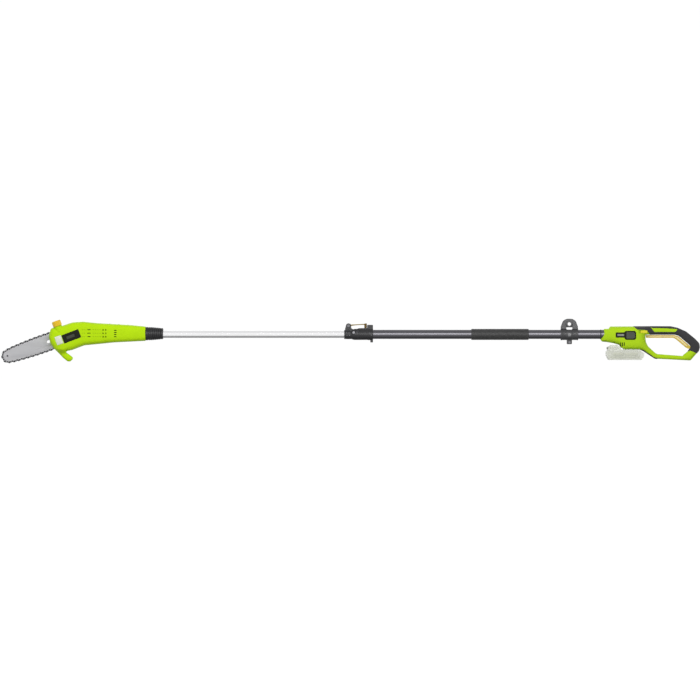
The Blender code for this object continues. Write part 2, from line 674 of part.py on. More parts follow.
def vent_slots():
    """Cooling slots in both sides, beside the motor and in the neck."""
    slots = []
    for z in (18.2, 4.7, -9.1):
        for x, half in ((-1626, 6.5), (-1570.5, 3.2), (-1560, 3.2)):
            slots.append((x, z, half, 2.2 if half < 5 else 1.4))
    for row in range(4):
        slots.append((-1522.5, 16 - 8.4 * row, 5, 1.6))
    shape = bmesh.new()
    for x, z, half_x, half_z in slots:
        made = bmesh.ops.create_cube(shape, size=1.0)["verts"]
        bmesh.ops.scale(shape, vec=(2 * half_x * MM, 0.12, 2 * half_z * MM), verts=made)
        bmesh.ops.translate(shape, vec=(x * MM, 0, z * MM), verts=made)
    return from_bmesh("vent_slots", shape, "lime")


def make_ferrule():
    """The ribbed boot between the head's neck and the inner tube."""
    start, end, ribs = -1399.4, -1330.0, 6
    pitch = (end - start) / ribs
    profile = [(INNER_R + 0.4, end)]
    for k in range(ribs):
        share = k / (ribs - 1)
        radius = 20.0 + 6.0 * share
        x = end - k * pitch
        profile += [(radius - 1.6, x - 0.2), (radius, x - 1.6), (radius, x - pitch + 2.6),
                    (radius - 1.6, x - pitch + 1.2)]
    profile += [(24.2, start), (INNER_R + 0.4, start)]
    return turned("ferrule", profile, "X", look="black_plastic", steps=20, closed=True)


def make_oil_tank():
    tank = bar_box("oil_tank", (-56, -31, -28), (-13, -14.6, 27), "clear_plastic")
    neck = rod("filler_neck", 8.8, 20, 46, "BAR_UP", bar_point(-25.5, 0, -19))
    fuse(tank, neck)
    space = bar_box("tank_space", (-54, -29, -26), (-15, -16.6, 25))
    throat = rod("filler_throat", 6.8, 18, 60, "BAR_UP", bar_point(-25.5, 0, -19))
    fuse(space, throat)
    return cut(tank, space)


def make_oil_cap():
    spot = bar_point(-25.5, 0, -19)
    rim = []
    for k in range(16):
        for share, radius in ((-0.3, 15.0), (0.0, 16)):
            angle = 2 * math.pi * (k + share) / 16
            rim.append(Vector((radius * math.cos(angle), radius * math.sin(angle))))
    cap = plate("oil_cap", [rim], 44.6, 64, "oil_cap", 0.8)
    cap.rotation_euler = AXES["BAR_UP"]
    cap.location = Vector(bar_point(-25.5, 54.3, -19)) * MM
    plug = rod("cap_plug", 6.4, 36, 50, "BAR_UP", spot)
    recess = tube("cap_recess", 9.2, 6.4, 40, 46.5, "BAR_UP", spot)
    fuse(cap, plug)
    cut(cap, recess)
    seal = tube("cap_seal", 14.4, 9.6, 42.6, 44.3, "BAR_UP", spot, "soft_black", 24)
    joint_empty("oil_cap_axis", bar_point(-25.5, 50, -19), cap, seal)


COVER_CORNERS = [(-1664.4, 40, 0), (-1700, 38, 18), (-1728, 30, 20), (-1772, 22, 8),
                 (-1780, -9, 30), (-1774, -34, 30), (-1760, -54, 14), (-1738, -66, 12),
                 (-1712, -64, 10), (-1664.4, -44, 0)]


def make_sprocket_cover():
    """The cap over the sprocket; the bar and the chain leave through its open front."""
    low = MOUNT_Y + 0.4
    outline = [rounded(COVER_CORNERS)]
    cover = plate("sprocket_cover", outline, low - 10, COVER_Y, "lime", 5)
    inside = plate("cover_inside", outline, low - 20, COVER_Y - WALL, "lime", 3, inset=2.5)
    cut(cover, inside)
    boss = bar_box("cover_boss", (STUD_X - 10, 26.2, -9), (STUD_X + 10, 37, 9))
    fuse(cover, boss)
    below = box("cover_below", (-1900, -50, -200), (-1500, low, 200))
    mouth = bar_box("cover_mouth", (-130, 10, -38), (-50, 26.1, 38))
    upper = bar_box("chain_path_upper", (-130, 10, 12), (-50, 28, 38))
    lower = bar_box("chain_path_lower", (-130, 10, -38), (-50, 28, -12))
    block_path = bar_box("block_path", (-130, 10, -21), (-62, 34, -9.3))
    stud_hole = rod("cover_stud_hole", 4.2, 10, 60, "Y", bar_point(STUD_X, 0, 0))
    screw_mouth = rod("screw_mouth", 4.6, -100, -66, "BAR", bar_point(0, -15, 30.7), steps=16)
    return cut(cover, below, mouth, upper, lower, block_path, stud_hole, screw_mouth)


def make_cover_knob():
    rim = []
    for k in range(6):
        for share, radius in ((-0.35, 11.5), (-0.2, 14.5), (0.2, 14.5), (0.35, 11.5)):
            angle = 2 * math.pi * (k + share) / 6
            rim.append(Vector((radius * math.cos(angle), radius * math.sin(angle))))
    spot = bar_point(STUD_X, 0)
    knob = plate("cover_knob", [rim, circle(0, 0, 4.2, 20)], COVER_Y + GAP, COVER_Y + 11, "black_plastic",
                 1.0)
    knob.location.x, knob.location.z = spot[0] * MM, spot[2] * MM


# ---------------------------------------------------------------- rear housing

HOUSING_CORNERS = [(400, 21.6, 6), (429, 21.6, 3), (434, 30.4, 6), (606, 30.9, 0), (606, -2, 0),
                   (574, -2, 3), (576.5, -29, 20), (585, -47, 0), (557, -58.6, 0),
                   (484, -58.6, 6), (470, -41, 6), (447, -34, 6), (422, -29, 6), (400, -27.7, 6)]
HOUSING_TAPER = [(380, 0.66), (398, 0.66), (452, 1.0), (540, 1.0), (606, 0.46)]
LOOP_OUTER = [(548, 30.7, 0), (672, 30.4, 30), (706, 22, 40), (764, -14, 30), (786, -35, 20),
              (787, -52, 20), (776, -70, 14), (747, -101.5, 8), (612, -95, 12), (557, -58.6, 0),
              (548, -45, 0)]
LOOP_HOLE = [(574, -2, 3), (576.5, -29, 20), (585, -47, 14), (612, -72, 12), (622, -77.5, 6),
             (721, -85, 8), (741, -69, 10), (753, -46, 6), (706, -6, 20), (690, -2, 10)]
TRIGGER = [(575.5, -2.6, 2), (689, -2.6, 8), (706, -8, 12), (752, -47.5, 2), (762, -47.5, 3),
           (768, -53, 4), (762, -58.5, 4), (742, -56, 2), (736, -53, 3), (694, -18, 8),
           (684, -13.6, 8), (577, -13.6, 3)]


def make_rear_housing():
    housing = plate("housing_whole", [rounded(HOUSING_CORNERS)], -HOUSING_HALF, HOUSING_HALF,
                    "lime", 4)
    narrow(housing, HOUSING_TAPER)
    loop = plate("grip_loop", [rounded(LOOP_OUTER), rounded(LOOP_HOLE)], -GRIP_HALF, GRIP_HALF,
                 "lime", 5)
    fuse(housing, loop)

    room = plate("housing_room", [rounded([(443, 27.4, 3), (560, 27.6, 0), (560, -40, 0),
                 (548, -45.5, 3), (492, -45.5, 3), (474, -36, 4), (443, -28, 3)])],
                 -HOUSING_HALF + WALL, HOUSING_HALF - WALL, "lime", 2)
    narrow(room, HOUSING_TAPER)
    channel = plate("grip_channel", [rounded(LOOP_OUTER), rounded(LOOP_HOLE)],
                    -GRIP_HALF + WALL, GRIP_HALF - WALL, "lime", 3, inset=WALL)
    tube_bore = rod("housing_bore", OUTER_R + GAP, 380, 444, steps=32)
    trigger_slot = plate("trigger_slot", [rounded([(574.2, 8, 0), (692, 8, 8), (712, 2, 8),
                         (760, -38, 4), (772, -50, 4), (766, -64, 4), (740, -60, 0),
                         (694, -30, 0), (574.2, -22, 0)])], -7.6, 7.6, "lime")
    rail_neck = box("rail_neck_slot", (440, -17.2, -70), (552, 17.2, -56.4))
    rail_head = box("rail_head_slot", (440, -21.6, -56.8), (552, 21.6, -52.6))
    terminal_hole = box("terminal_hole", (507.7, -15.3, -53), (546.3, 15.3, -44))
    button_recess = box("button_recess", (544.5, -60, 3.6), (584, -25.7, 16.4))
    button_slot = box("button_slot", (551, -30, 6.4), (572.6, -8, 13.6))
    pin_hole = rod("trigger_pin_hole", 2.3, -13.6, 13.6, "Y", (*TRIGGER_PIVOT[:1], 0,
                   TRIGGER_PIVOT[1]), steps=16)
    cut(housing, room, channel, tube_bore, trigger_slot, rail_neck, rail_head, terminal_hole,
        button_recess, button_slot, pin_hole)
    half_shell("rear_shell_left", housing, -1)
    half_shell("rear_shell_right", housing, 1)
    hide(housing)

    collar = tube("tube_gasket", 23.2, OUTER_R + GAP, 395.6, 399.6, look="soft_black")
    strut = plate("strut_pad", [rounded([(566, -65.4, 1), (611, -95.9, 1), (619, -96.6, 1),
                  (616, -101, 1), (607, -99.5, 2), (563, -69.5, 1)])], -12, 12, "soft_black", 0.6)
    return collar, strut


def make_soft_grips():
    """The two soft side skins of the handle's upper and rear run."""
    outline = rounded([(534, 28.5, 1), (672, 28, 28), (704, 20, 38), (762, -15, 28), (783, -36, 18),
                       (784, -51, 18), (776, -66, 6), (748, -62, 3), (755.5, -46, 5),
                       (707, -3, 20), (690, 1.2, 10), (590, 1.2, 4), (578, 12, 6)])
    for name, side in (("soft_grip_left", -1), ("soft_grip_right", 1)):
        near, far = sorted((side * (GRIP_HALF + GAP), side * (GRIP_HALF + 2.5)))
        skin = plate(name, [outline], near, far, "soft_black", 0.8)
        clear = plate(name + "_clear", [rounded(HOUSING_CORNERS)], -HOUSING_HALF, HOUSING_HALF,
                      "lime", 4, inset=-GAP)
        cut(skin, narrow(clear, HOUSING_TAPER))


def make_badges():
    outline = rounded([(455, 8, 3), (490, 8, 3), (496, 14, 3), (534, 14, 5), (537, -4, 20),
                       (534, -21.5, 5), (496, -21.5, 4), (490, -12.6, 3), (455, -12.6, 3)])
    for name, side in (("badge_left", -1), ("badge_right", 1)):
        near, far = sorted((side * (HOUSING_HALF + GAP), side * (HOUSING_HALF + 1.5)))
        plate(name, [outline], near, far, "label", 0.4)


def make_controls():
    px, pz = TRIGGER_PIVOT
    trigger = plate("trigger", [rounded(TRIGGER), circle(px, pz, 2 + GAP, 16)], -7, 7, "amber", 1.2)
    joint_empty("trigger_axis", (px, 0, pz), trigger)
    rod("trigger_pin", 2.0, -13.2, 13.2, "Y", (px, 0, pz), "steel", 16)
    turns, per_turn = 4, 6
    coil = []
    for k in range(turns * per_turn + 1):
        angle = 2 * math.pi * k / per_turn
        height = -1.6 + 16.2 * k / (turns * per_turn)
        coil.append((650 + 3.4 * math.cos(angle), 3.4 * math.sin(angle), height))
    cable("trigger_spring", coil, 0.5, "steel")
    box("switch_block", (586, -9, 9.5), (616, 9, 26), "black_plastic", 0.6)
    pad = box("lock_off_button", (552.5, -29, 4.4), (580.5, -26, 15.6), "oil_cap", 1.0)
    stem = box("lock_off_stem", (558, -27, 7.2), (572, -8.4, 12.8))
    fuse(pad, stem)
    joint_empty("lock_off_axis", (566, -27, 10), pad)
    box("circuit_board", (450, -22, -29), (540, 22, -27.4), "board")
    box("terminal_block", (508, -15, -52.4), (546, 15, -38), "black_plastic", 0.5)


def make_battery():
    x0, x1 = BATTERY_X
    case = plate("battery_case", [rounded([(x0, -66, 0), (x0, -80, 8), (424, -100, 8), (558, -100, 8),
                 (x1, -84, 8), (x1, -75, 4), (x1 - 12, -66, 0)])], -BATTERY_HALF, BATTERY_HALF, "battery", 3)
    room = box("case_room", (x0 + 11, -34.5, -97), (x1 - 16, 34.5, -60))
    cut(case, room)
    lid = plate("battery_lid", [rounded([(x0, -65.7, 0), (x1 - 13, -65.7, 0), (x1 - 13, -61, 2),
                (x0 + 3, -61, 2)])], -BATTERY_HALF, BATTERY_HALF, "battery", 1)
    tower = plate("battery_tower", [rounded([(423, -63, 0), (427, -50, 6), (438, -41.5, 5),
                  (462, -41.5, 5), (474, -52, 5), (481, -63, 0)])], -30, 30, "battery", 3)
    neck = box("rail_neck", (486, -16.6, -63), (551, 16.6, -55))
    head = box("rail_head", (486, -21.1, -56.1), (551, 21.1, -53.2))
    fuse(lid, tower, neck, head)
    cut(lid, box("latch_pocket", (415, -10.4, -59.4), (434, 10.4, -48.6)))
    cells = None
    for k in range(CELL_COUNT):
        x = (x0 + x1) / 2 + (k - (CELL_COUNT - 1) / 2) * (2 * CELL_R - 0.2)
        cell = rod(f"cell_{k}", CELL_R, -32.5, 32.5, "Y", (x, 0, -84), "cell", 20)
        cells = cell if cells is None else fuse(cells, cell)
    cells.name = "cell_pack"
    latch = box("latch_button", (421.5, -10, -59), (430, 10, -49), "black_plastic", 0.8)
    joint_empty("latch_axis", (426, 0, -54), latch)
    joint_empty("battery_axis", (x0, 0, -62), case, lid, cells)


# ---------------------------------------------------------------- assembly

inner_pieces = list(make_pole())
inner_pieces.append(make_cables())
make_clamp()
make_lever()
make_carry_bracket()
drive_wheel = make_saw()
inner_pieces += make_drive_train(drive_wheel)
inner_pieces += make_head()
make_oil_cap()
make_cover_knob()
make_rear_housing()
make_soft_grips()
make_badges()
make_controls()
make_battery()
joint_empty("telescope_axis", (INNER_X[0], 0, 0), *inner_pieces)
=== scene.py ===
"""Looks of the telescoping pole saw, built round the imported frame. Pieces are drawn in millimetres."""
import json
import math

import bmesh
import bpy
import numpy as np
from mathutils import Matrix, Vector
from mathutils.geometry import delaunay_2d_cdt


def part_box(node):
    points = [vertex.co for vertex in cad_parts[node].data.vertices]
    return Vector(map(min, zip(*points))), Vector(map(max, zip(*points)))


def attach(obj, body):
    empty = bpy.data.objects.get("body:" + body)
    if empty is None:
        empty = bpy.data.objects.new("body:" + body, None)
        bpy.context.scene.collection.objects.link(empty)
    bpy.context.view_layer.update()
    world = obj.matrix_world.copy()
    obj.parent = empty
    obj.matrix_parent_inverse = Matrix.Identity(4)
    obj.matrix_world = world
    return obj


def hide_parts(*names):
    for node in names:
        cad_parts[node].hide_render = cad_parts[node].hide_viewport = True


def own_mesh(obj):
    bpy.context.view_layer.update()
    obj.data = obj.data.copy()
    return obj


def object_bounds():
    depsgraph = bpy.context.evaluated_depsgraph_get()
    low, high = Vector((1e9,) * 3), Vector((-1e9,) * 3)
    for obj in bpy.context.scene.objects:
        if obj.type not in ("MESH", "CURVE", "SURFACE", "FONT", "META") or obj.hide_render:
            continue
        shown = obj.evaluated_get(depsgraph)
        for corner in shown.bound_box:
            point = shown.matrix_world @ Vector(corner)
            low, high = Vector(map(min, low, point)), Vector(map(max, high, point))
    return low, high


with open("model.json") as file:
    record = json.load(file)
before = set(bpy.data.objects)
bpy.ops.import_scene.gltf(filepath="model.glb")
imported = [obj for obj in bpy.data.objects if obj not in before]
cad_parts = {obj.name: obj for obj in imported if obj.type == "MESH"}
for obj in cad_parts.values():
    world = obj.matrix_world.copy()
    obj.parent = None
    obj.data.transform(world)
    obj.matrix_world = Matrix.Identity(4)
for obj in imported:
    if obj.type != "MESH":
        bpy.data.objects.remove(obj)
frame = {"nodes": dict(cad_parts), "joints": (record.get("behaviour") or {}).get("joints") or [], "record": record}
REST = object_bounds()
SCENE = bpy.context.scene

MM = 0.001
SMOOTH_LIMIT = 32.0                                    # degrees; edges sharper than this stay sharp

# ---------------------------------------------------------------- camera, light and floor (metres)

LENS, SENSOR = 200.0, 36.0
VIEW_WIDTH, VIEW_LEVEL = 2.765, -0.0616
FLOOR_SIZE, FLOOR_LEVEL, FLOOR_GLOW = 60, -0.62, 0.62
# name: place, aim, length, width, power
LAMPS = {"key": ((-0.9, -3.4, 2.5), (-0.6, 0, 0), 3.6, 0.9, 80.0),
         "front": ((-0.5, -4.2, 1.05), (-0.6, 0, 0), 4.6, 0.7, 54.0),
         "back": ((-0.6, 3.0, 2.6), (-0.6, 0, 0), 3.6, 1.2, 8.0)}
STRIP = ((-0.3, -3.2, 0.72), (-0.3, 0, 0), 4.6, 1.5, 95.0)
STRIP_LIT = []                                         # the dark round pieces that the strip lights
SEEN_WHITE, ROOM_LIGHT = 1.02, 0.66
# Brightness of the surroundings from straight below (0) to straight above (1).
DIFFUSE_RAMP = ((0.0, 0.56), (0.30, 0.68), (0.50, 0.82), (0.72, 0.80), (1.0, 0.62))
GLOSSY_RAMP = ((0.0, 0.24), (0.06, 0.32), (0.12, 0.60), (0.19, 0.92), (0.42, 0.98), (0.52, 1.06),
               (0.80, 1.04), (1.0, 0.76))


def add_node(tree, kind, **inputs):
    """A new shader node; inputs are named with _ for a space."""
    node = tree.nodes.new("ShaderNode" + kind)
    for name, value in inputs.items():
        node.inputs[name.replace("_", " ")].default_value = value
    return node


def wire(tree, *links):
    """Links given as (node, output, node, input)."""
    for start, output, end, socket in links:
        tree.links.new(start.outputs[output], end.inputs[socket])


def add_ramp(tree, stops):
    ramp = add_node(tree, "ValToRGB")
    elements = ramp.color_ramp.elements
    while len(elements) < len(stops):
        elements.new(0.5)
    for element, (place, tone) in zip(elements, stops):
        element.position, element.color = place, tone
    return ramp


def link_object(name, data):
    made = bpy.data.objects.new(name, data)
    SCENE.collection.objects.link(made)
    return made


def make_lamp(name, spot, aim, length, width, power):
    light = bpy.data.lights.new(name, "AREA")
    light.shape, light.size, light.size_y, light.energy = "RECTANGLE", length, width, power
    lamp = link_object(name, light)
    lamp.location = spot
    lamp.rotation_euler = (lamp.location - Vector(aim)).to_track_quat("Z", "Y").to_euler()
    return lamp


def make_world():
    """White to the camera, a dimmer graded room to every other ray."""
    world = bpy.data.worlds.new("studio")
    SCENE.world = world
    world.use_nodes = True
    tree = world.node_tree
    tree.nodes.clear()
    out, path = add_node(tree, "OutputWorld"), add_node(tree, "LightPath")
    coord, split = add_node(tree, "TexCoord"), add_node(tree, "SeparateXYZ")
    rise = add_node(tree, "MapRange", From_Min=-1)
    seen = add_node(tree, "Background", Color=(1, 1, 1, 1), Strength=SEEN_WHITE)
    lit, shine = add_node(tree, "Background", Strength=ROOM_LIGHT), add_node(tree, "Background")
    pick, mix = add_node(tree, "MixShader"), add_node(tree, "MixShader")
    wire(tree, (coord, "Generated", split, 0), (split, "Z", rise, "Value"))
    for stops, room in ((DIFFUSE_RAMP, lit), (GLOSSY_RAMP, shine)):
        ramp = add_ramp(tree, [(place, (tone, tone, tone * 1.01, 1)) for place, tone in stops])
        wire(tree, (rise, 0, ramp, "Fac"), (ramp, "Color", room, "Color"))
    wire(tree, (path, "Is Glossy Ray", pick, 0), (lit, 0, pick, 1), (shine, 0, pick, 2),
         (path, "Is Camera Ray", mix, 0), (pick, 0, mix, 1), (seen, 0, mix, 2), (mix, 0, out, "Surface"))


def make_floor():
    shape = bmesh.new()
    bmesh.ops.create_grid(shape, x_segments=4, y_segments=4, size=FLOOR_SIZE)
    mesh = bpy.data.meshes.new("floor")
    shape.to_mesh(mesh)
    shape.free()
    floor = link_object("floor", mesh)
    floor.location = (-0.6, 0, FLOOR_LEVEL)
    paper = look("floor_paper", (0.93, 0.93, 0.93), rough=0.95, grain=0.02, grain_scale=300, vary=0.01,
                 specular=0.0)
    shader = paper.node_tree.nodes["Principled BSDF"]
    shader.inputs["Emission Color"].default_value = (1, 1, 1, 1)
    shader.inputs["Emission Strength"].default_value = FLOOR_GLOW
    mesh.materials.append(paper)
    floor.visible_diffuse = floor.visible_glossy = False


def make_stage():
    camera = link_object("camera", bpy.data.cameras.new("camera"))
    camera.data.lens, camera.data.sensor_width, camera.data.clip_end = LENS, SENSOR, 200
    camera.location = ((REST[0].x + REST[1].x) / 2, -VIEW_WIDTH * LENS / SENSOR, VIEW_LEVEL)
    camera.rotation_euler = (math.pi / 2, 0, 0)
    SCENE.camera = camera
    SCENE.view_settings.view_transform = "Standard"
    for name, lamp in LAMPS.items():
        make_lamp(name, *lamp).visible_glossy = False
    make_world()
    make_floor()


def make_strip_light():
    """A long soft strip in front of the pole that lights only the round dark parts."""
    group = bpy.data.collections.new("strip_receivers")
    for piece in STRIP_LIT:
        group.objects.link(piece)
    make_lamp("strip", *STRIP).light_linking.receiver_collection = group


# ---------------------------------------------------------------- materials

LOOKS = {}


def look(name, colour, rough=0.4, metal=0.0, grain=0.05, grain_scale=2200, vary=0.05, vary_scale=22,
         rough_vary=0.08, stretch=(1, 1, 1), sheen=0.0, alpha=1.0, glass=0.0, second=None, bands=None,
         specular=0.5):
    """A procedural finish: slow colour drift, roughness drift and a fine surface grain."""
    made = bpy.data.materials.new(name)
    made.use_nodes = True
    tree = made.node_tree
    shader = tree.nodes["Principled BSDF"]
    coord, mapping = add_node(tree, "TexCoord"), add_node(tree, "Mapping", Scale=stretch)
    drift = add_node(tree, "TexNoise", Scale=vary_scale, Detail=3)
    fine = add_node(tree, "TexNoise", Scale=grain_scale, Detail=2)
    light = second or tuple(min(1.0, c * (1 + vary)) for c in colour)
    ramp = add_ramp(tree, ((0.3, (*(c * (1 - vary) for c in colour), 1)), (0.7, (*light, 1))))
    spread = add_node(tree, "MapRange", To_Min=max(0.02, rough - rough_vary),
                      To_Max=min(1.0, rough + rough_vary))
    bump = add_node(tree, "Bump", Strength=grain, Distance=0.0006)
    height = fine
    if bands:
        wave = add_node(tree, "TexWave", Scale=bands[1], Distortion=0.4)
        wave.bands_direction = bands[0]
        height = add_node(tree, "Math")
        height.operation = "ADD"
        wire(tree, (coord, "Object", wave, "Vector"), (wave, "Fac", height, 0), (fine, "Fac", height, 1))
    wire(tree, (coord, "Object", mapping, "Vector"), (mapping, "Vector", drift, "Vector"),
         (mapping, "Vector", fine, "Vector"), (drift, "Fac", ramp, "Fac"),
         (ramp, "Color", shader, "Base Color"),
         (fine, "Fac", spread, "Value"), (spread, 0, shader, "Roughness"), (height, 0, bump, "Height"),
         (bump, "Normal", shader, "Normal"))
    for socket, value in (("Metallic", metal), ("Sheen Weight", sheen), ("Alpha", alpha), ("IOR", 1.46),
                          ("Transmission Weight", glass), ("Specular IOR Level", specular)):
        shader.inputs[socket].default_value = value
    LOOKS[name] = made
    return made


def make_looks():
    look("head_lime", (0.46, 0.73, 0.004), rough=0.40, grain=0.10, vary=0.03, specular=0.14)
    look("rear_lime", (0.42, 0.66, 0.012), rough=0.42, grain=0.10, vary=0.03, specular=0.14)
    look("black_plastic", (0.016, 0.016, 0.017), rough=0.34, grain=0.16, grain_scale=1800, vary=0.15,
         specular=0.26)
    # Near-black painted shade: it fills the floors of vent slits, louvres, screw recesses and shallow grooves,
    # where a deep hole would be dark with shade.
    look("painted_hole_shade", (0.008, 0.009, 0.006), rough=0.8, grain=0.1, vary=0.2)
    look("soft_black", (0.030, 0.029, 0.032), rough=0.50, grain=0.35, grain_scale=1300, vary=0.12,
         sheen=0.10, specular=0.30)
    look("foam", (0.020, 0.020, 0.020), rough=0.46, grain=0.5, grain_scale=900, vary=0.25, sheen=0.08,
         vary_scale=120, specular=0.3)
    look("cable", (0.02, 0.02, 0.02), rough=0.5, grain=0.1)
    look("dark_tube", (0.112, 0.110, 0.120), rough=0.20, metal=0.9, grain=0.012, grain_scale=900, vary=0.06,
         stretch=(0.04, 1, 1), vary_scale=60, rough_vary=0.02)
    look("bright_aluminium", (0.90, 0.90, 0.90), rough=0.20, metal=0.88, grain=0.05, grain_scale=1500,
         vary=0.04, stretch=(0.03, 1, 1), vary_scale=80)
    look("cast_aluminium", (0.58, 0.58, 0.60), rough=0.5, metal=1.0, grain=0.3, grain_scale=900)
    look("steel", (0.62, 0.62, 0.64), rough=0.28, metal=1.0, grain=0.05, vary=0.06)
    look("magnet", (0.07, 0.07, 0.075), rough=0.5, metal=0.6)
    look("bar_steel", (0.47, 0.47, 0.48), rough=0.36, metal=0.55, grain=0.10, grain_scale=1400, vary=0.10,
         stretch=(0.05, 1, 0.9), vary_scale=55)
    look("chain_steel", (0.030, 0.030, 0.032), rough=0.42, metal=0.6, grain=0.12, vary=0.25, vary_scale=90)
    look("cutter_steel", (0.14, 0.14, 0.145), rough=0.34, metal=0.8, grain=0.1, vary=0.2, vary_scale=120)
    look("gold_lever", (0.26, 0.19, 0.035), rough=0.34, metal=0.3, grain=0.08, vary=0.12, vary_scale=45)
    look("lever_block", (0.12, 0.072, 0.012), rough=0.4, metal=0.3, grain=0.12, vary=0.2, vary_scale=60)
    look("yellow_plastic", (0.86, 0.44, 0.02), rough=0.36, grain=0.08, vary=0.25, vary_scale=34,
         specular=0.3, second=(0.86, 0.60, 0.03))
    look("button_yellow", (0.70, 0.66, 0.03), rough=0.36, grain=0.08, vary=0.06, specular=0.3)
    look("amber_plastic", (0.68, 0.50, 0.07), rough=0.34, grain=0.06, vary=0.08, specular=0.3)
    look("amber_core", (0.84, 0.72, 0.38), rough=0.36, grain=0.06, vary=0.05, specular=0.3)
    look("clear_plastic", (0.82, 0.86, 0.72), rough=0.3, grain=0.05, glass=0.15, vary=0.06)
    look("battery_shell", (0.80, 0.82, 0.72), rough=0.34, grain=0.05, vary=0.05, alpha=0.60)
    look("battery_rib", (0.70, 0.72, 0.60), rough=0.4, grain=0.05, vary=0.05, alpha=0.72)
    look("cells", (0.66, 0.70, 0.56), rough=0.35, grain=0.05, vary=0.10, vary_scale=60)
    look("label", (0.010, 0.012, 0.006), rough=0.32, grain=0.03, grain_scale=600, vary=0.2, specular=0.16)
    look("label_grey", (0.075, 0.085, 0.068), rough=0.4, grain=0.05, vary=0.15, specular=0.2)
    look("label_dim", (0.050, 0.056, 0.040), rough=0.4, grain=0.05, vary=0.15, specular=0.2)
    look("bracket_black", (0.024, 0.024, 0.025), rough=0.40, grain=0.16, grain_scale=1800, vary=0.15)
    look("bracket_grey", (0.11, 0.11, 0.112), rough=0.42, grain=0.12, vary=0.1)
    # Lighter grey for the clamp's thin ribs and small domes: a painted highlight along them.
    look("rib_grey", (0.055, 0.055, 0.06), rough=0.4, grain=0.1, vary=0.1)
    look("pin_steel", (0.24, 0.24, 0.25), rough=0.34, metal=1.0, grain=0.08, vary=0.1)
    look("bolt_steel", (0.42, 0.42, 0.44), rough=0.34, metal=1.0, grain=0.08, vary=0.1)
    look("copper", (0.62, 0.28, 0.12), rough=0.35, metal=1.0, grain=0.3, bands=("X", 900))
    look("board", (0.03, 0.17, 0.06), rough=0.45, grain=0.2, bands=("X", 500))
    look("oil", (0.62, 0.68, 0.40), rough=0.4, grain=0.05, vary=0.25, vary_scale=60)
    look("badge_pale", (0.22, 0.24, 0.20), rough=0.4, grain=0.05, vary=0.06)
    look("latch_grey", (0.30, 0.31, 0.28), rough=0.45, grain=0.1, vary=0.08)


# ---------------------------------------------------------------- pieces

def mm_box(*nodes):
    """Lowest and highest corner of CAD nodes together, in millimetres."""
    boxes = [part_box(node) for node in nodes]
    low = [min(b[0][i] for b in boxes) / MM for i in range(3)]
    high = [max(b[1][i] for b in boxes) / MM for i in range(3)]
    return low, high


def smooth(mesh, degrees=SMOOTH_LIMIT):
    mesh.shade_smooth()
    mesh.set_sharp_from_angle(angle=math.radians(degrees))


def piece_from(name, shape, *finishes, degrees=SMOOTH_LIMIT):
    """A new object from a bmesh in millimetres."""
    bmesh.ops.scale(shape, vec=(MM, MM, MM), verts=shape.verts)
    bmesh.ops.recalc_face_normals(shape, faces=shape.faces[:])
    mesh = bpy.data.meshes.new(name)
    shape.to_mesh(mesh)
    shape.free()
    for finish in finishes:
        mesh.materials.append(LOOKS[finish])
    smooth(mesh, degrees)
    return link_object(name, mesh)


def seat(piece, *nodes, axes="xyz"):
    """Stretch a piece's own box onto the box of the CAD nodes along the given axes."""
    low, high = mm_box(*nodes)
    co = np.zeros(len(piece.data.vertices) * 3)
    piece.data.vertices.foreach_get("co", co)
    co = co.reshape(-1, 3)
    for i, axis in enumerate("xyz"):
        if axis in axes:
            near, far = co[:, i].min(), co[:, i].max()
            share = (co[:, i] - near) / (far - near)
            co[:, i] = (low[i] + (high[i] - low[i]) * share) * MM
    piece.data.vertices.foreach_set("co", co.ravel())
    piece.data.update()
    return piece


def mount(piece, body, slot, *nodes):
    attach(piece, body)
    if nodes:
        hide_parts(*nodes)
    return piece


def bake(piece):
    bpy.context.view_layer.update()
    graph = bpy.context.evaluated_depsgraph_get()
    mesh = bpy.data.meshes.new_from_object(piece.evaluated_get(graph))
    piece.modifiers.clear()
    piece.data = mesh
    return piece


def round_edges(piece, width, segments=3, degrees=35):
    step = piece.modifiers.new("round", "BEVEL")
    step.width, step.segments, step.limit_method = width * MM, segments, "ANGLE"
    step.angle_limit = math.radians(degrees)
    smooth(bake(piece).data, 40)
    return piece


def combine(piece, operation, *tools):
    for tool in tools:
        before = piece.data.copy()
        for solver in ("EXACT", "MANIFOLD", "FLOAT"):
            piece.data = before.copy()
            step = piece.modifiers.new("boolean", "BOOLEAN")
            step.operation, step.solver, step.object = operation, solver, tool
            bake(piece)
            if len(piece.data.polygons) > 0.4 * len(before.polygons):
                break
        bpy.data.objects.remove(tool)
    smooth(piece.data)
    return piece


def cut(piece, *tools):
    return combine(piece, "DIFFERENCE", *tools)


def block(name, low, high, finish="black_plastic", edge=0.0, segments=3, tilt=0.0, about=(0, 0)):
    """A box with rounded edges; the tilt turns it about Y through `about`."""
    shape = bmesh.new()
    bmesh.ops.create_cube(shape, size=1.0)
    low, high = Vector(low), Vector(high)
    for vertex in shape.verts:
        vertex.co = Vector(a + (b - a) * (c + 0.5) for a, b, c in zip(low, high, vertex.co))
    if edge:
        bmesh.ops.bevel(shape, geom=shape.edges[:], offset=edge, segments=segments, profile=0.5,
                        affect="EDGES")
    turn_about(shape, tilt, about)
    return piece_from(name, shape, finish)


def turn_about(shape, tilt, about):
    if tilt:
        cos, sin = math.cos(tilt), math.sin(tilt)
        for vertex in shape.verts:
            x, z = vertex.co.x, vertex.co.z
            vertex.co.x = about[0] + x * cos - z * sin
            vertex.co.z = about[1] + x * sin + z * cos


AXES = {"X": Matrix(((0, 0, 1), (0, 1, 0), (-1, 0, 0))), "Y": Matrix(((1, 0, 0), (0, 0, 1), (0, -1, 0))),
        "Z": Matrix.Identity(3)}


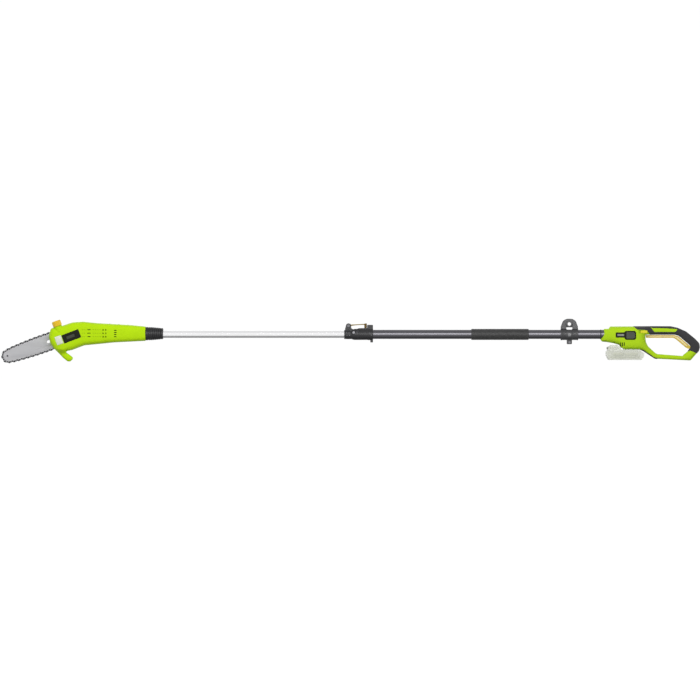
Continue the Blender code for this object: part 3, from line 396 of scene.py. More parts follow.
def lathe(name, profile, axis, spot, finish, steps=64, closed=False, wobble=None, degrees=SMOOTH_LIMIT):
    """A turned piece: (radius, height) points about an axis through spot. wobble(angle, height)
    is added to the radius."""
    frame_axes = AXES[axis] if isinstance(axis, str) else axis
    shape = bmesh.new()
    rings = []
    for r, h in profile:
        ring = []
        for k in range(1 if r == 0 else steps):
            a = 2 * math.pi * k / steps
            radius = r + (wobble(a, h) if wobble and r else 0)
            ring.append(shape.verts.new(frame_axes @ Vector((radius * math.cos(a), radius * math.sin(a), h))
                                        + Vector(spot)))
        rings.append(ring)
    pairs = list(zip(rings, rings[1:]))
    if closed:
        pairs.append((rings[-1], rings[0]))
    for here, there in pairs:
        for k in range(steps):
            n = (k + 1) % steps
            loop = [here[k % len(here)], here[n % len(here)], there[n % len(there)], there[k % len(there)]]
            loop = list(dict.fromkeys(loop))
            if len(loop) > 2:
                shape.faces.new(loop)
    return piece_from(name, shape, finish, degrees=degrees)


def rounded(corners, step=12):
    """Outline of a polygon of (x, z, radius) corners with each corner rounded."""
    outline = []
    count = len(corners)
    for i, (x, z, radius) in enumerate(corners):
        here = Vector((x, z))
        before = (Vector(corners[i - 1][:2]) - here)
        after = (Vector(corners[(i + 1) % count][:2]) - here)
        room = min(before.length, after.length) * 0.48
        before.normalize()
        after.normalize()
        angle = before.angle(after)
        turn = math.pi - angle
        if radius == 0 or turn < math.radians(2):
            outline.append((x, z))
            continue
        reach = min(radius / math.tan(angle / 2), room)
        radius = reach * math.tan(angle / 2)
        centre = here + (before + after).normalized() * (radius / math.sin(angle / 2))
        first = here + before * reach - centre
        side = 1 if first.y * before.x - first.x * before.y > 0 else -1
        pieces = max(2, math.ceil(math.degrees(turn) / step))
        for k in range(pieces + 1):
            bend = side * turn * k / pieces
            outline.append((centre.x + first.x * math.cos(bend) - first.y * math.sin(bend),
                            centre.y + first.x * math.sin(bend) + first.y * math.cos(bend)))
    return outline


def circle(x, z, radius, count=32):
    return [(x + radius * math.cos(2 * math.pi * k / count), z + radius * math.sin(2 * math.pi * k / count))
            for k in range(count)]


def resample(loop, step):
    """Add points to the long edges of a closed loop."""
    points = []
    for (x0, z0), (x1, z1) in zip(loop, loop[1:] + loop[:1]):
        pieces = max(1, math.ceil(math.hypot(x1 - x0, z1 - z0) / step))
        points += [(x0 + (x1 - x0) * k / pieces, z0 + (z1 - z0) * k / pieces) for k in range(pieces)]
    return points


def within(points, loops):
    """Even-odd test of points against closed loops."""
    result = np.zeros(len(points), bool)
    x, z = points[:, 0], points[:, 1]
    for loop in loops:
        a = np.array(loop)
        b = np.roll(a, -1, axis=0)
        for (x0, z0), (x1, z1) in zip(a, b):
            if z0 != z1:
                crosses = (z0 > z) != (z1 > z)
                result ^= crosses & (x < (x1 - x0) * (z - z0) / (z1 - z0) + x0)
    return result


def clearance(points, loops):
    """Distance from each point to the nearest edge of the loops."""
    best = np.full(len(points), 1e9)
    for loop in loops:
        a = np.array(loop)
        b = np.roll(a, -1, axis=0)
        run = b - a
        length = np.maximum((run ** 2).sum(1), 1e-12)
        for start in range(0, len(points), 4000):
            p = points[start:start + 4000, None, :]
            t = np.clip(((p - a) * run).sum(2) / length, 0, 1)
            gap = np.hypot(*np.moveaxis(p - (a + t[..., None] * run), 2, 0))
            best[start:start + 4000] = np.minimum(best[start:start + 4000], gap.min(1))
    return best


def sideways(loop, distance):
    """The loop's points moved along their normals, to the left of travel for a positive distance."""
    a = np.array(loop)
    along = np.roll(a, -1, axis=0) - np.roll(a, 1, axis=0)
    along /= np.maximum(np.hypot(along[:, 0], along[:, 1])[:, None], 1e-9)
    return a + np.stack((-along[:, 1], along[:, 0]), 1) * distance


def flat_mesh(loops, extra, marks=(), only=None):
    """Triangles that fill the loops (even-odd), with the marks' edges kept and extra points inside."""
    points, edges = [], []
    for loop in [*loops, *marks]:
        start = len(points)
        points += [tuple(p) for p in loop]
        edges += [(start + k, start + (k + 1) % len(loop)) for k in range(len(loop))]
    points += [tuple(p) for p in extra]
    done = delaunay_2d_cdt([Vector(p) for p in points], edges, [], 0, 1e-5)
    spots = np.array([(v.x, v.y) for v in done[0]])
    faces = np.array([f for f in done[2] if len(f) == 3])
    middle = spots[faces].mean(1)
    area = np.abs(np.cross(spots[faces[:, 1]] - spots[faces[:, 0]], spots[faces[:, 2]] - spots[faces[:, 0]]))
    return spots, faces[within(middle, loops) & (area > 1e-7)]


def puff(spots, faces, rim, reach):
    """How far each point swells, from 0 at the rim towards 1 well inside: a screened Poisson solve."""
    count = len(spots)
    corner = spots[faces]
    weight = np.zeros(len(faces) * 3)
    first, second = [], []
    for k in range(3):
        a, b, c = corner[:, k], corner[:, (k + 1) % 3], corner[:, (k + 2) % 3]
        u, v = b - a, c - a
        weight[k::3] = (u * v).sum(1) / np.maximum(np.abs(np.cross(u, v)), 1e-9) / 2
        first.append(faces[:, (k + 1) % 3])
        second.append(faces[:, (k + 2) % 3])
    i, j = np.stack(first, 1).ravel(), np.stack(second, 1).ravel()
    area = np.abs(np.cross(corner[:, 1] - corner[:, 0], corner[:, 2] - corner[:, 0])) / 2
    mass = sum(np.bincount(faces[:, k], area / 3, count) for k in range(3))
    diagonal = np.bincount(i, weight, count) + np.bincount(j, weight, count) + mass / reach ** 2
    free = np.ones(count, bool)
    free[rim] = False

    def apply(x):
        return diagonal * x - np.bincount(i, weight * x[j], count) - np.bincount(j, weight * x[i], count)

    x = np.zeros(count)
    residual = np.where(free, mass, 0.0)
    scale = np.maximum(diagonal, 1e-9)
    z = residual / scale
    direction = z.copy()
    energy = (residual * z).sum()
    for _ in range(600):
        image = np.where(free, apply(direction), 0.0)
        step = energy / max((direction * image).sum(), 1e-30)
        x += step * direction
        residual -= step * image
        z = residual / scale
        fresh = (residual * z).sum()
        if fresh < 1e-12 * mass.sum():
            break
        direction = z + direction * (fresh / energy)
        energy = fresh
    return np.sqrt(np.maximum(x, 0)) / reach


def rim_edges(faces):
    """Directed edges that belong to one triangle only."""
    seen = {}
    for f in faces:
        for k in range(3):
            a, b = int(f[k]), int(f[(k + 1) % 3])
            seen[(a, b)] = True
    return [(a, b) for a, b in seen if (b, a) not in seen]


def skin(name, outline, holes, width, reach, side, finish, panels=(), spacing=3.0, split=0.15, power=1.0,
         base=None):
    """One half of a moulded casing: the outline swells from the parting plane to `width(x, z)`.

    panels are (name, loops, kind, height, finish): a "sunk" panel is pushed in, a "raised" one
    becomes its own closed piece that lies on the casing. Returns the casing and the raised pieces.
    """
    loops = [resample(outline, spacing * 0.7)] + [resample(h, spacing * 0.7) for h in holes]
    marks = [resample(loop, 1.6) for panel in panels for loop in panel[1]]
    near = []
    for loop in loops:
        for gap in (0.25, 0.8, 1.7, 3.0, 4.8):
            for hand in (-1, 1):
                ring = sideways(loop, hand * gap)[::1 if gap < 2 else 2]
                keep = within(ring, loops) & (clearance(ring, loops) > 0.93 * gap)
                near.append(ring[keep])
    for panel in panels:
        for loop in panel[1]:
            for gap in (0.45, 1.1):
                for hand in (-1, 1):
                    ring = sideways(resample(loop, 1.6), hand * gap)
                    keep = within(ring, loops) & (clearance(ring, loops) > 0.6)
                    keep &= clearance(ring, [resample(loop, 1.6)]) > 0.9 * gap
                    near.append(ring[keep])
    low, high = np.min(np.concatenate([np.array(k) for k in loops]), 0), \
        np.max(np.concatenate([np.array(k) for k in loops]), 0)
    grid = np.array([(x + (spacing / 2 if row % 2 else 0), z)
                     for row, z in enumerate(np.arange(low[1], high[1], spacing * 0.866))
                     for x in np.arange(low[0], high[0], spacing)])
    grid = grid[within(grid, loops)]
    keep = clearance(grid, loops) > 6.0
    if marks:
        keep &= clearance(grid, marks) > 1.8
    extra = np.concatenate([*near, grid[keep]])
    if marks and len(near):
        shifted = np.concatenate(near)
        shifted = shifted[clearance(shifted, marks) > 0.35]
        extra = np.concatenate([shifted, grid[keep]])
    spots, faces = flat_mesh(loops, extra, marks)
    used = np.unique(faces)
    renumber = -np.ones(len(spots), int)
    renumber[used] = np.arange(len(used))
    spots, faces = spots[used], renumber[faces]
    rim = sorted({v for edge in rim_edges(faces) for v in edge})
    faces = faces[~np.isin(faces, rim).all(1)]
    swell = puff(spots, faces, rim, reach) ** power
    wide = np.array([width(x, z) for x, z in spots])
    start = split if base is None else base
    points = np.stack((spots[:, 0], side * (start + (wide - start) * swell), spots[:, 1]), 1)
    flats = points.copy()
    flats[:, 1] = side * start

    corner = points[faces]
    slope = np.cross(corner[:, 1] - corner[:, 0], corner[:, 2] - corner[:, 0])
    slope *= np.where(slope[:, 1:2] * side < 0, -1, 1)
    normal = np.stack([sum(np.bincount(faces[:, k], slope[:, c], len(points)) for k in range(3))
                       for c in range(3)], 1)
    normal[rim, 1] = 0
    normal /= np.maximum(np.linalg.norm(normal, axis=1)[:, None], 1e-9)

    middle = spots[faces].mean(1)
    owner = np.full(len(faces), -1)
    for index, panel in enumerate(panels):
        owner[within(middle, panel[1])] = index
    shape = bmesh.new()
    verts = [shape.verts.new(p) for p in points]
    on_rim = set(rim)
    back = [verts[k] if k in on_rim else shape.verts.new(p) for k, p in enumerate(flats)]
    for face in faces:
        shape.faces.new([back[k] for k in face])
    raised = []
    for index in range(-1, len(panels)):
        mine = faces[owner == index]
        if index < 0 or panels[index][2] == "raised":
            for face in mine:
                shape.faces.new([verts[k] for k in face])
        if index < 0 or not len(mine):
            continue
        title, _, kind, height, paint = panels[index]
        if kind == "sunk":
            inner = {int(k): shape.verts.new(points[k] - Vector((0, side * height, 0)))
                     for k in np.unique(mine)}
            for face in mine:
                made = shape.faces.new([inner[int(k)] for k in face])
                # Slot 1 is the near-black painted shade for holes; slot 2 is the sunk panel's own finish.
                made.material_index = 1 if paint == "painted_hole_shade" else 2
            for a, b in rim_edges(mine):
                made = shape.faces.new((verts[a], verts[b], inner[b], inner[a]))
        else:
            raised.append(panel_piece(title, mine, points, normal, on_rim, height, paint))
    for vertex in [v for v in shape.verts if not v.link_faces]:
        shape.verts.remove(vertex)
    # The casing's slots: its finish, the painted hole shade, and the finish of its other sunk panels.
    sunk_paint = next((p[4] for p in panels if p[2] == "sunk" and p[4] != "painted_hole_shade"), "painted_hole_shade")
    casing = piece_from(name, shape, finish, "painted_hole_shade", sunk_paint)
    return [casing, *raised]


def panel_piece(title, faces, points, normal, on_rim, height, paint, sink=0.5):
    """A closed raised panel over some of a casing's triangles, with a rounded lip."""
    lip = {v for edge in rim_edges(faces) for v in edge}
    shape = bmesh.new()
    top, under = {}, {}
    for k in np.unique(faces):
        k = int(k)
        share = 0.45 if k in lip and k not in on_rim else 1.0
        top[k] = shape.verts.new(points[k] + normal[k] * height * share)
        under[k] = shape.verts.new(points[k] - normal[k] * (sink if k not in on_rim else 0.0))
    for face in faces:
        shape.faces.new([top[int(k)] for k in face])
        shape.faces.new([under[int(k)] for k in face[::-1]])
    for a, b in rim_edges(faces):
        shape.faces.new((top[a], top[b], under[b], under[a]))
    return piece_from(title, shape, paint)


def slab(name, loops, y_low, y_high, finish, edge=0.8, segments=3, tilt=0.0, about=(0, 0), degrees=50):
    """A flat plate with rounded rims: loops are (x, z) outlines, the later ones holes."""
    spots, faces = flat_mesh([list(loop) for loop in loops], [])
    shape = bmesh.new()
    front = [shape.verts.new((x, y_low, z)) for x, z in spots]
    back = [shape.verts.new((x, y_high, z)) for x, z in spots]
    for face in faces:
        shape.faces.new([front[k] for k in face])
        shape.faces.new([back[k] for k in face[::-1]])
    for a, b in rim_edges(faces):
        shape.faces.new((front[b], front[a], back[a], back[b]))
    shape.verts.ensure_lookup_table()
    for vertex in [v for v in shape.verts if not v.link_faces]:
        shape.verts.remove(vertex)
    bmesh.ops.recalc_face_normals(shape, faces=shape.faces[:])
    bmesh.ops.dissolve_limit(shape, angle_limit=0.001, verts=shape.verts[:], edges=shape.edges[:])
    if edge:
        rims = [e for e in shape.edges if len(e.link_faces) == 2
                and abs(e.link_faces[0].normal.y) > 0.9 and abs(e.link_faces[1].normal.y) < 0.1
                or len(e.link_faces) == 2 and abs(e.link_faces[1].normal.y) > 0.9
                and abs(e.link_faces[0].normal.y) < 0.1]
        bmesh.ops.bevel(shape, geom=rims, offset=edge, segments=segments, profile=0.5, affect="EDGES",
                        clamp_overlap=True)
    turn_about(shape, tilt, about)
    return piece_from(name, shape, finish, degrees=degrees)


def join(name, pieces):
    """Several objects as one; finishes become its material slots."""
    bpy.ops.object.select_all(action="DESELECT")
    for piece in pieces:
        piece.select_set(True)
    bpy.context.view_layer.objects.active = pieces[0]
    bpy.ops.object.join()
    joined = bpy.context.view_layer.objects.active
    joined.name = name
    joined.data.name = name
    return joined


# ---------------------------------------------------------------- places taken from the frame

JOINTS = {joint["name"]: joint for joint in frame["joints"]}


def joint_spot(name):
    return [c / MM for c in JOINTS[name]["pos_m"]]


DRIVE, NOSE = joint_spot("drive_spin"), joint_spot("nose_spin")
TILT = math.atan2(DRIVE[2] - NOSE[2], DRIVE[0] - NOSE[0])
COS, SIN = math.cos(TILT), math.sin(TILT)
BAR_LENGTH = math.hypot(DRIVE[0] - NOSE[0], DRIVE[2] - NOSE[2])
BAR_Y = DRIVE[1]
ABOUT = (DRIVE[0], DRIVE[2])
AXES["BAR"] = Matrix(((SIN, 0, COS), (0, 1, 0), (-COS, 0, SIN)))
AXES["BAR_UP"] = Matrix(((COS, 0, -SIN), (0, 1, 0), (SIN, 0, COS)))


def bar_point(x, z, y=BAR_Y):
    return (DRIVE[0] + x * COS - z * SIN, y, DRIVE[2] + x * SIN + z * COS)


def bar_loop(points):
    """Points of the bar's own frame as (x, z) of the row frame."""
    spots = [bar_point(x, z) for x, z in points]
    return [(s[0], s[2]) for s in spots]


def smoothstep(value, low, high):
    t = min(1.0, max(0.0, (value - low) / (high - low)))
    return t * t * (3 - 2 * t)


# ---------------------------------------------------------------- guide bar and chain

NOSE_R = 17.8
NOSE_SHIFT, DEEPER = 1.4, 4.0


def bar_half_width(x):
    belly_x, belly = -105.0, 26.4
    reach = (x - belly_x) / (-BAR_LENGTH - belly_x) if x < belly_x else (x - belly_x) / 150.0
    return belly - (belly - NOSE_R - 0.9) * abs(reach) ** 1.9


def loop_outline(grow, tail):
    """The bar's outline, grown outwards; its lower half is a little deeper than the upper one."""
    upper = [(x, bar_half_width(x) + grow) for x in range(-60, -241, -10)]
    nose = [(-BAR_LENGTH + NOSE_SHIFT + (NOSE_R + grow) * math.cos(a), (NOSE_R + grow) * math.sin(a))
            for a in [math.radians(82 + 196 * k / 30) for k in range(31)]]
    lower = [(x, -z) for x, z in reversed(upper)]
    loop = tail + upper + nose + lower + [(x, -z) for x, z in reversed(tail)]
    return [(x, z - DEEPER * smoothstep(-z, -14, 18) * smoothstep(-x, 20, 80)) for x, z in loop]


def disc(name, spot, radius, height, finish, side, steps=24, dish=0.0):
    """A low domed disc on a face that looks along Y; side says which way."""
    profile = [(0, height - dish), (radius * 0.45, height - dish * 0.6), (radius * 0.75, height),
               (radius * 0.93, height * 0.75), (radius, 0), (0, 0)]
    axes = AXES["Y"] if side > 0 else Matrix(((1, 0, 0), (0, 0, -1), (0, 1, 0)))
    return lathe(name, profile, axes, spot, finish, steps)


def make_bar():
    tail = [(-25, 15), (-27, 19), (-44, 24)]
    slot = rounded([(-90, 4.2, 4.8), (-34, 4.2, 4.8), (-34, -6.0, 4.8), (-90, -6.0, 4.8)])
    oil_holes = [circle(-44, 15, 2.0, 20), circle(-72, -15, 2.7, 24)]
    outer = loop_outline(0, tail)
    core = loop_outline(-4.6, [(-30, 11), (-34, 15), (-46, 18)])
    layers = []
    for low, high in ((-1.8, -0.65), (0.65, 1.8)):
        layers.append(slab("layer", [outer, slot, *oil_holes], BAR_Y + low, BAR_Y + high, "bar_steel",
                           edge=0.25, segments=2, tilt=TILT, about=ABOUT))
    layers.append(slab("core", [core, slot, *oil_holes], BAR_Y - 0.65, BAR_Y + 0.65, "bar_steel", edge=0,
                       tilt=TILT, about=ABOUT))
    for side in (-1, 1):
        y = BAR_Y + side * 1.75
        for k in range(4):
            angle = math.pi * (0.25 + k / 2)
            layers.append(disc("rivet", bar_point(-BAR_LENGTH + 9 * math.cos(angle), 9 * math.sin(angle), y),
                               1.7, 0.3, "steel", side, 16))
        layers.append(disc("hub", bar_point(-BAR_LENGTH, 0, y), 3.4, 0.45, "chain_steel", side, 24, 0.35))
        for x in (-118, -152, -186, -218):
            for z in (-11.5, 11.5):
                layers.append(disc("weld", bar_point(x, z, y - side * 0.02), 2.6, 0.12, "bar_steel",
                                   side, 20,
                                   0.1))
    bar = join("guide_bar_plates", layers)
    seat(bar, "guide_bar", axes="y")
    mount(bar, "bar", "bar_steel", "guide_bar")


def prism(shape, outline, y_low, y_high, middle, along, outward, material=0):
    """A plate whose outline is given along and outward from a point of the chain's path."""
    rings = []
    for y in (y_low, y_high):
        rings.append([shape.verts.new((middle[0] + along[0] * u + outward[0] * n, y,
                                       middle[1] + along[1] * u + outward[1] * n)) for u, n in outline])
    faces = [shape.faces.new(rings[0][::-1]), shape.faces.new(rings[1])]
    for k in range(len(outline)):
        n = (k + 1) % len(outline)
        faces.append(shape.faces.new((rings[0][k], rings[0][n], rings[1][n], rings[1][k])))
    for face in faces:
        face.material_index = material


def link_outline(half, radius, top):
    """A figure with two round ends; top points replace the outer edge between them."""
    left = [(-half + radius * math.cos(a), radius * math.sin(a))
            for a in [math.radians(k) for k in range(100, 261, 40)]]
    right = [(half + radius * math.cos(a), radius * math.sin(a))
             for a in [math.radians(k) for k in range(-80, 81, 40)]]
    return left + [(0, -radius * 0.72)] + right + top


def make_chain():
    tail = [(23 * math.cos(a), 23 * math.sin(a)) for a in [math.radians(k) for k in range(4, 97, 8)]]
    path = loop_outline(3.1, tail)
    points = np.array(path + path[:1])
    lengths = np.hypot(*np.diff(points, axis=0).T)
    total = lengths.sum()
    reach = np.concatenate(([0], np.cumsum(lengths)))
    count = 4 * round(total / 9.525 / 4)
    pitch = total / count
    at = np.arange(count) * pitch
    rivets = np.stack((np.interp(at, reach, points[:, 0]), np.interp(at, reach, points[:, 1])), 1)
    half = pitch / 2
    tie = link_outline(half, 2.7, [(0, 1.9)])
    drive = link_outline(half, 2.45, [(3.4, 3.3), (0.6, 3.6), (-3.4, 2.3)])
    drive[5:6] = [(-2.4, -2.0), (-1.4, -5.6), (0.0, -6.4), (1.3, -5.4), (2.4, -2.0)]
    cutter = link_outline(half, 2.7, [(6.4, 4.4), (5.2, 5.3), (3.9, 5.0), (3.0, 2.8), (2.3, 2.5), (1.7, 3.4),
                                      (1.5, 5.8), (-6.6, 5.2), (-7.2, 3.6)])
    roof = [(1.6, 5.2), (1.9, 5.9), (-6.7, 5.3), (-6.7, 4.5)]
    shape = bmesh.new()
    for k in range(count):
        a, b = rivets[k], rivets[(k + 1) % count]
        along = (b - a) / np.hypot(*(b - a))
        outward = np.array((along[1], -along[0]))
        middle = (a + b) / 2
        if k % 2 == 0:
            prism(shape, drive, BAR_Y - 0.62, BAR_Y + 0.62, middle, along, outward)
        else:
            hand = {1: -1, 3: 1}[k % 4]
            for side in (-1, 1):
                inner, outer = sorted((BAR_Y + side * 0.72, BAR_Y + side * 1.72))
                toothed = side == hand
                prism(shape, cutter if toothed else tie, inner, outer, middle, along, outward)
                if toothed:
                    low, high = sorted((BAR_Y - side * 0.3, BAR_Y + side * 3.1))
                    prism(shape, roof, low, high, middle, along, outward, 1)
        button = [(1.35 * math.cos(t), 1.35 * math.sin(t)) for t in
                  [2 * math.pi * j / 10 for j in range(10)]]
        prism(shape, button, BAR_Y - 2.15, BAR_Y + 2.15, a, along, outward, 2)
    turn_about(shape, TILT, ABOUT)
    chain = piece_from("chain_links", shape, "chain_steel", "cutter_steel", "steel", degrees=30)
    seat(chain, "saw_chain", axes="y")
    mount(chain, "bar", "chain_steel", "saw_chain")


# ---------------------------------------------------------------- saw head

HEAD_OUTLINE = [(-1372, 29.4, 0), (-1400, 31.2, 0), (-1455, 36.4, 60), (-1591, 44.6, 60), (-1645, 50.2, 40),
                (-1689, 47.5, 40), (-1728, 34, 30), (-1774, 24.5, 14), (-1782, -9, 30), (-1776, -34, 30),
                (-1761, -56, 18), (-1740, -77, 14), (-1726, -92, 15), (-1708, -106.5, 7), (-1697, -107, 6),
                (-1686, -97, 5), (-1687.5, -90, 4), (-1699, -80.5, 8), (-1713, -71.5, 6), (-1711, -66, 5),
                (-1690, -62, 12), (-1642, -43.5, 24), (-1585, -38, 40), (-1523, -31.8, 50),
                (-1400, -25.6, 0),
                (-1372, -24.6, 0)]
BAR_SIDE_X, MOUNT_Y = -1664.0, 16.0
VENT_ROWS = (18.2, 4.7, -9.1)


def head_width(full, hook):
    def width(x, z):
        taper = 1.0 - 0.26 * min(1.0, max(0.0, (x + 1600) / 201))
        wide = full * taper
        share = smoothstep(z, -78, -58) if x < -1660 else 1.0
        return hook + (wide - hook) * share
    return width


def head_vents():
    panels = []

    def slit(x, z, half_x, half_z, depth, radius=0.9):
        loop = rounded([(x - half_x, z - half_z, radius), (x + half_x, z - half_z, radius),
                        (x + half_x, z + half_z, radius), (x - half_x, z + half_z, radius)], 45)
        # Every slit's floor is painted near-black: painted shade for the depth of the vent.
        panels.append(("slit", [loop], "sunk", depth, "painted_hole_shade"))

    for z in VENT_ROWS:
        slit(-1621, z, 6.5, 1.5, 4.0)
        for x in (-1565.5, -1555):
            slit(x, z + 1.2, 3.0, 1.1, 4.0)
            slit(x, z - 2.0, 3.0, 1.1, 4.0)
        for x in (-1646, -1638.5, -1604, -1595, -1586, -1577):
            slit(x, z, 2.6, 0.45, 1.2, 0.3)
    for row in range(4):
        slit(-1517.5, 16 - 8.4 * row, 5.0, 1.7, 4.0)
    return panels


def trim(piece, x_limit):
    """Cut a closed piece off beyond x_limit and close it."""
    shape = bmesh.new()
    shape.from_mesh(piece.data)
    everything = shape.verts[:] + shape.edges[:] + shape.faces[:]
    done = bmesh.ops.bisect_plane(shape, geom=everything, plane_co=(x_limit * MM, 0, 0), plane_no=(1, 0, 0),
                                  clear_outer=True)
    rim = [e for e in done["geom_cut"] if isinstance(e, bmesh.types.BMEdge)]
    bmesh.ops.triangle_fill(shape, use_beauty=True, edges=rim)
    bmesh.ops.recalc_face_normals(shape, faces=shape.faces[:])
    shape.to_mesh(piece.data)
    shape.free()
    piece.data.set_sharp_from_angle(angle=math.radians(32))
    return piece


def screw_head(name, spot, radius, side, height=1.8):
    """A small cross-recess screw in a face that looks along Y."""
    profile = [(0, height), (radius * 0.5, height), (radius * 0.85, height * 0.8), (radius, height * 0.35),
               (radius, 0), (0, 0)]
    axes = AXES["Y"] if side > 0 else Matrix(((1, 0, 0), (0, 0, -1), (0, 1, 0)))
    head = lathe(name, profile, axes, spot, "steel", 24)
    x, y, z = spot
    near, far = sorted((y + side * height * 0.45, y + side * (height + 1)))
    arm, thick = radius * 0.62, radius * 0.16
    return cut(head, block("cross", (x - arm, near, z - thick), (x + arm, far, z + thick)),
               block("cross", (x - thick, near, z - arm), (x + thick, far, z + arm)))


def make_head():
    outline = rounded(HEAD_OUTLINE)
    full_left = -mm_box("head_shell_left")[0][1]
    full_right = mm_box("head_shell_right")[1][1]
    label = rounded([(*p, 2.0) for p in bar_loop_tilted((-35.5, -17.2), (35.5, 17.2), (-1690.8, -7.6), 21)])
    label_inner = rounded([(*p, 1.0) for p in bar_loop_tilted((-20, -6), (14, 6), (-1690.8, -7.6), 21)])
    window = rounded([(*p, 2.5) for p in bar_loop([(-51.6, -28.2), (-24.9, -28.2), (-24.9, 6.4),
                                                   (-51.6, 6.4)])])
    ribs = []
    for x in (-1541, -1505, -1470):
        strip = [(x - 2.6, 32.0), (x + 2.6, 32.0), (x + 2.2, 51.0), (x - 2.2, 51.0)]
        ribs.append((f"head_rib_{abs(x)}", [strip], "raised", 1.0, "head_lime"))
    vents = head_vents()
    left_panels = vents + [("oil_pocket", [window], "sunk", 3.4, "oil"),
                           ("label", [label, label_inner], "raised", 0.9, "label"),
                           ("label_field", [label_inner], "raised", 0.75, "label_dim"), *ribs]
    left, *raised = skin("head_casing_left", outline, [], head_width(full_left, 15.0), 8.0, -1, "head_lime",
                         left_panels, spacing=3.2, power=0.85)
    trim(left, -1399.8)
    cap = joint_spot("oil_cap_turn")
    offset = Vector((cap[0], cap[1], cap[2])) - Vector(AXES["BAR_UP"] @ Vector((0, 0, 50)))
    seat_tool = lathe("seat", [(0, 90), (17, 90), (17, 42.3), (0, 42.3)], "BAR_UP", offset, "head_lime", 48)
    hole_tool = lathe("hole", [(0, 90), (9.2, 90), (9.2, 30), (0, 30)], "BAR_UP", offset, "head_lime", 32)
    collar = lathe("collar", [(0, 42.3), (15.6, 42.3), (16.4, 41.6), (16.7, 38), (17.0, 31), (17.0, 20),
                              (0, 20)],
                   "BAR_UP", offset, "head_lime", 64)
    keep = block("keep", (-1900, -80, -200), (-1600, -0.15, 200))
    combine(collar, "INTERSECT", keep)
    combine(left, "UNION", collar)
    cut(left, seat_tool, hole_tool)
    seat(left, "head_shell_left", axes="y")
    mount(left, "inner_pole", "head_lime", "head_shell_left")

    screws = [(-1650, 33), (-1648, -24), (-1540, 22), (-1440, -12), (-1440, 14)]
    # The screw recesses have near-black floors: painted shade around the screws.
    holes = [("screw", [circle(x, z, 4.6, 20)], "sunk", 4.0, "painted_hole_shade") for x, z in screws]
    right, *raised_right = skin("head_casing_right", outline, [], head_width(full_right, 9.5), 8.0, 1,
                                "head_lime", vents + holes + ribs, spacing=3.2, power=0.85)
    trim(right, -1399.8)
    cut(right, block("bar_side", (-1900, MOUNT_Y, -200), (BAR_SIDE_X, 80, 200)))
    seat(right, "head_shell_right", axes="y")
    mount(right, "inner_pole", "head_lime", "head_shell_right")
    for index, (x, z) in enumerate(screws):
        y = surface_y(right, x, z, 1) - 1.2
        screw = screw_head(f"head_screw_{index}", (x, y, z), 3.4, 1)
        mount(screw, "inner_pole", "steel")
    for piece in raised:
        if piece.name.startswith("label"):
            mount(piece, "inner_pole", "label", *(["head_label"] if piece.name == "label" else []))
        else:
            mount(piece, "inner_pole", "head_lime")
    for piece in raised_right:
        mount(piece, "inner_pole", "head_lime")

    low, high = mm_box("oil_window")
    pane = [block("pane", (-51.2, low[1] + 1.0, -27.8), (-25.3, high[1], 6.0), "clear_plastic", 0.8,
                  tilt=TILT, about=ABOUT)]
    for k in range(5):
        x = -48.2 + 5.0 * k
        pane.append(block("rib", (x - 1.3, low[1], -26), (x + 1.3, low[1] + 1.6, 4.2), "clear_plastic", 0.7,
                          tilt=TILT, about=ABOUT))
    window_piece = join("oil_window_pane", pane)
    mount(window_piece, "inner_pole", "clear_plastic", "oil_window")

    tank = block("oil_tank_blown", (-50, -28, -24), (-18, -15, 22), "clear_plastic", 5.0, 4, TILT, ABOUT)
    neck = lathe("neck", [(6.8, 46), (8.2, 46), (8.8, 45.4), (8.8, 20), (6.8, 20)], "BAR_UP", offset,
                 "clear_plastic", 40, closed=True)
    mount(join("oil_tank_blown", [tank, neck]), "inner_pole", "clear_plastic", "oil_tank")


def bar_loop_tilted(low, high, about, degrees):
    cos, sin = math.cos(math.radians(degrees)), math.sin(math.radians(degrees))
    corners = [(low[0], low[1]), (high[0], low[1]), (high[0], high[1]), (low[0], high[1])]
    return [(about[0] + x * cos - z * sin, about[1] + x * sin + z * cos) for x, z in corners]


def surface_y(piece, x, z, side):
    """Height of a casing's deepest near surface at (x, z), found by a ray along Y."""
    hit, spot, _, _ = piece.ray_cast(Vector((x, side * 200, z)) * MM, Vector((0, -side, 0)))
    return spot.y / MM if hit else 0.0


def make_oil_cap():
    cap = joint_spot("oil_cap_turn")
    base = Vector(cap) - Vector(AXES["BAR_UP"] @ Vector((0, 0, 50)))

    def flutes(angle, height):
        return -0.75 * (0.5 - 0.5 * math.cos(18 * angle)) if 45 < height < 64 else 0.0

    profile = [(0, 62.4), (9.8, 62.4), (10.8, 62.8), (11.8, 64.8), (12.4, 65), (15.4, 65), (16.8, 64.2),
               (17.6, 62.4), (17.7, 59), (17.7, 50), (17.7, 45.6), (16.9, 43.4), (9.2, 43.4), (9.2, 46.5),
               (6.4, 46.5), (6.4, 37), (5.6, 36), (0, 36)]
    body = lathe("oil_cap_body", profile, "BAR_UP", base, "yellow_plastic", 144, wobble=flutes)
    bar = block("grip", (-10, -2.2, 61), (10, 2.2, 64.6), "yellow_plastic", 0.8)
    co = AXES["BAR_UP"]
    for vertex in bar.data.vertices:
        vertex.co = (co @ (vertex.co / MM) + base) * MM
    piece = join("oil_cap_fluted", [body, bar])
    mount(piece, "oil_cap", "yellow_plastic", "oil_cap")


BOOT_RISE = 2.9               # the boot's outside sits a little above the tube's axis


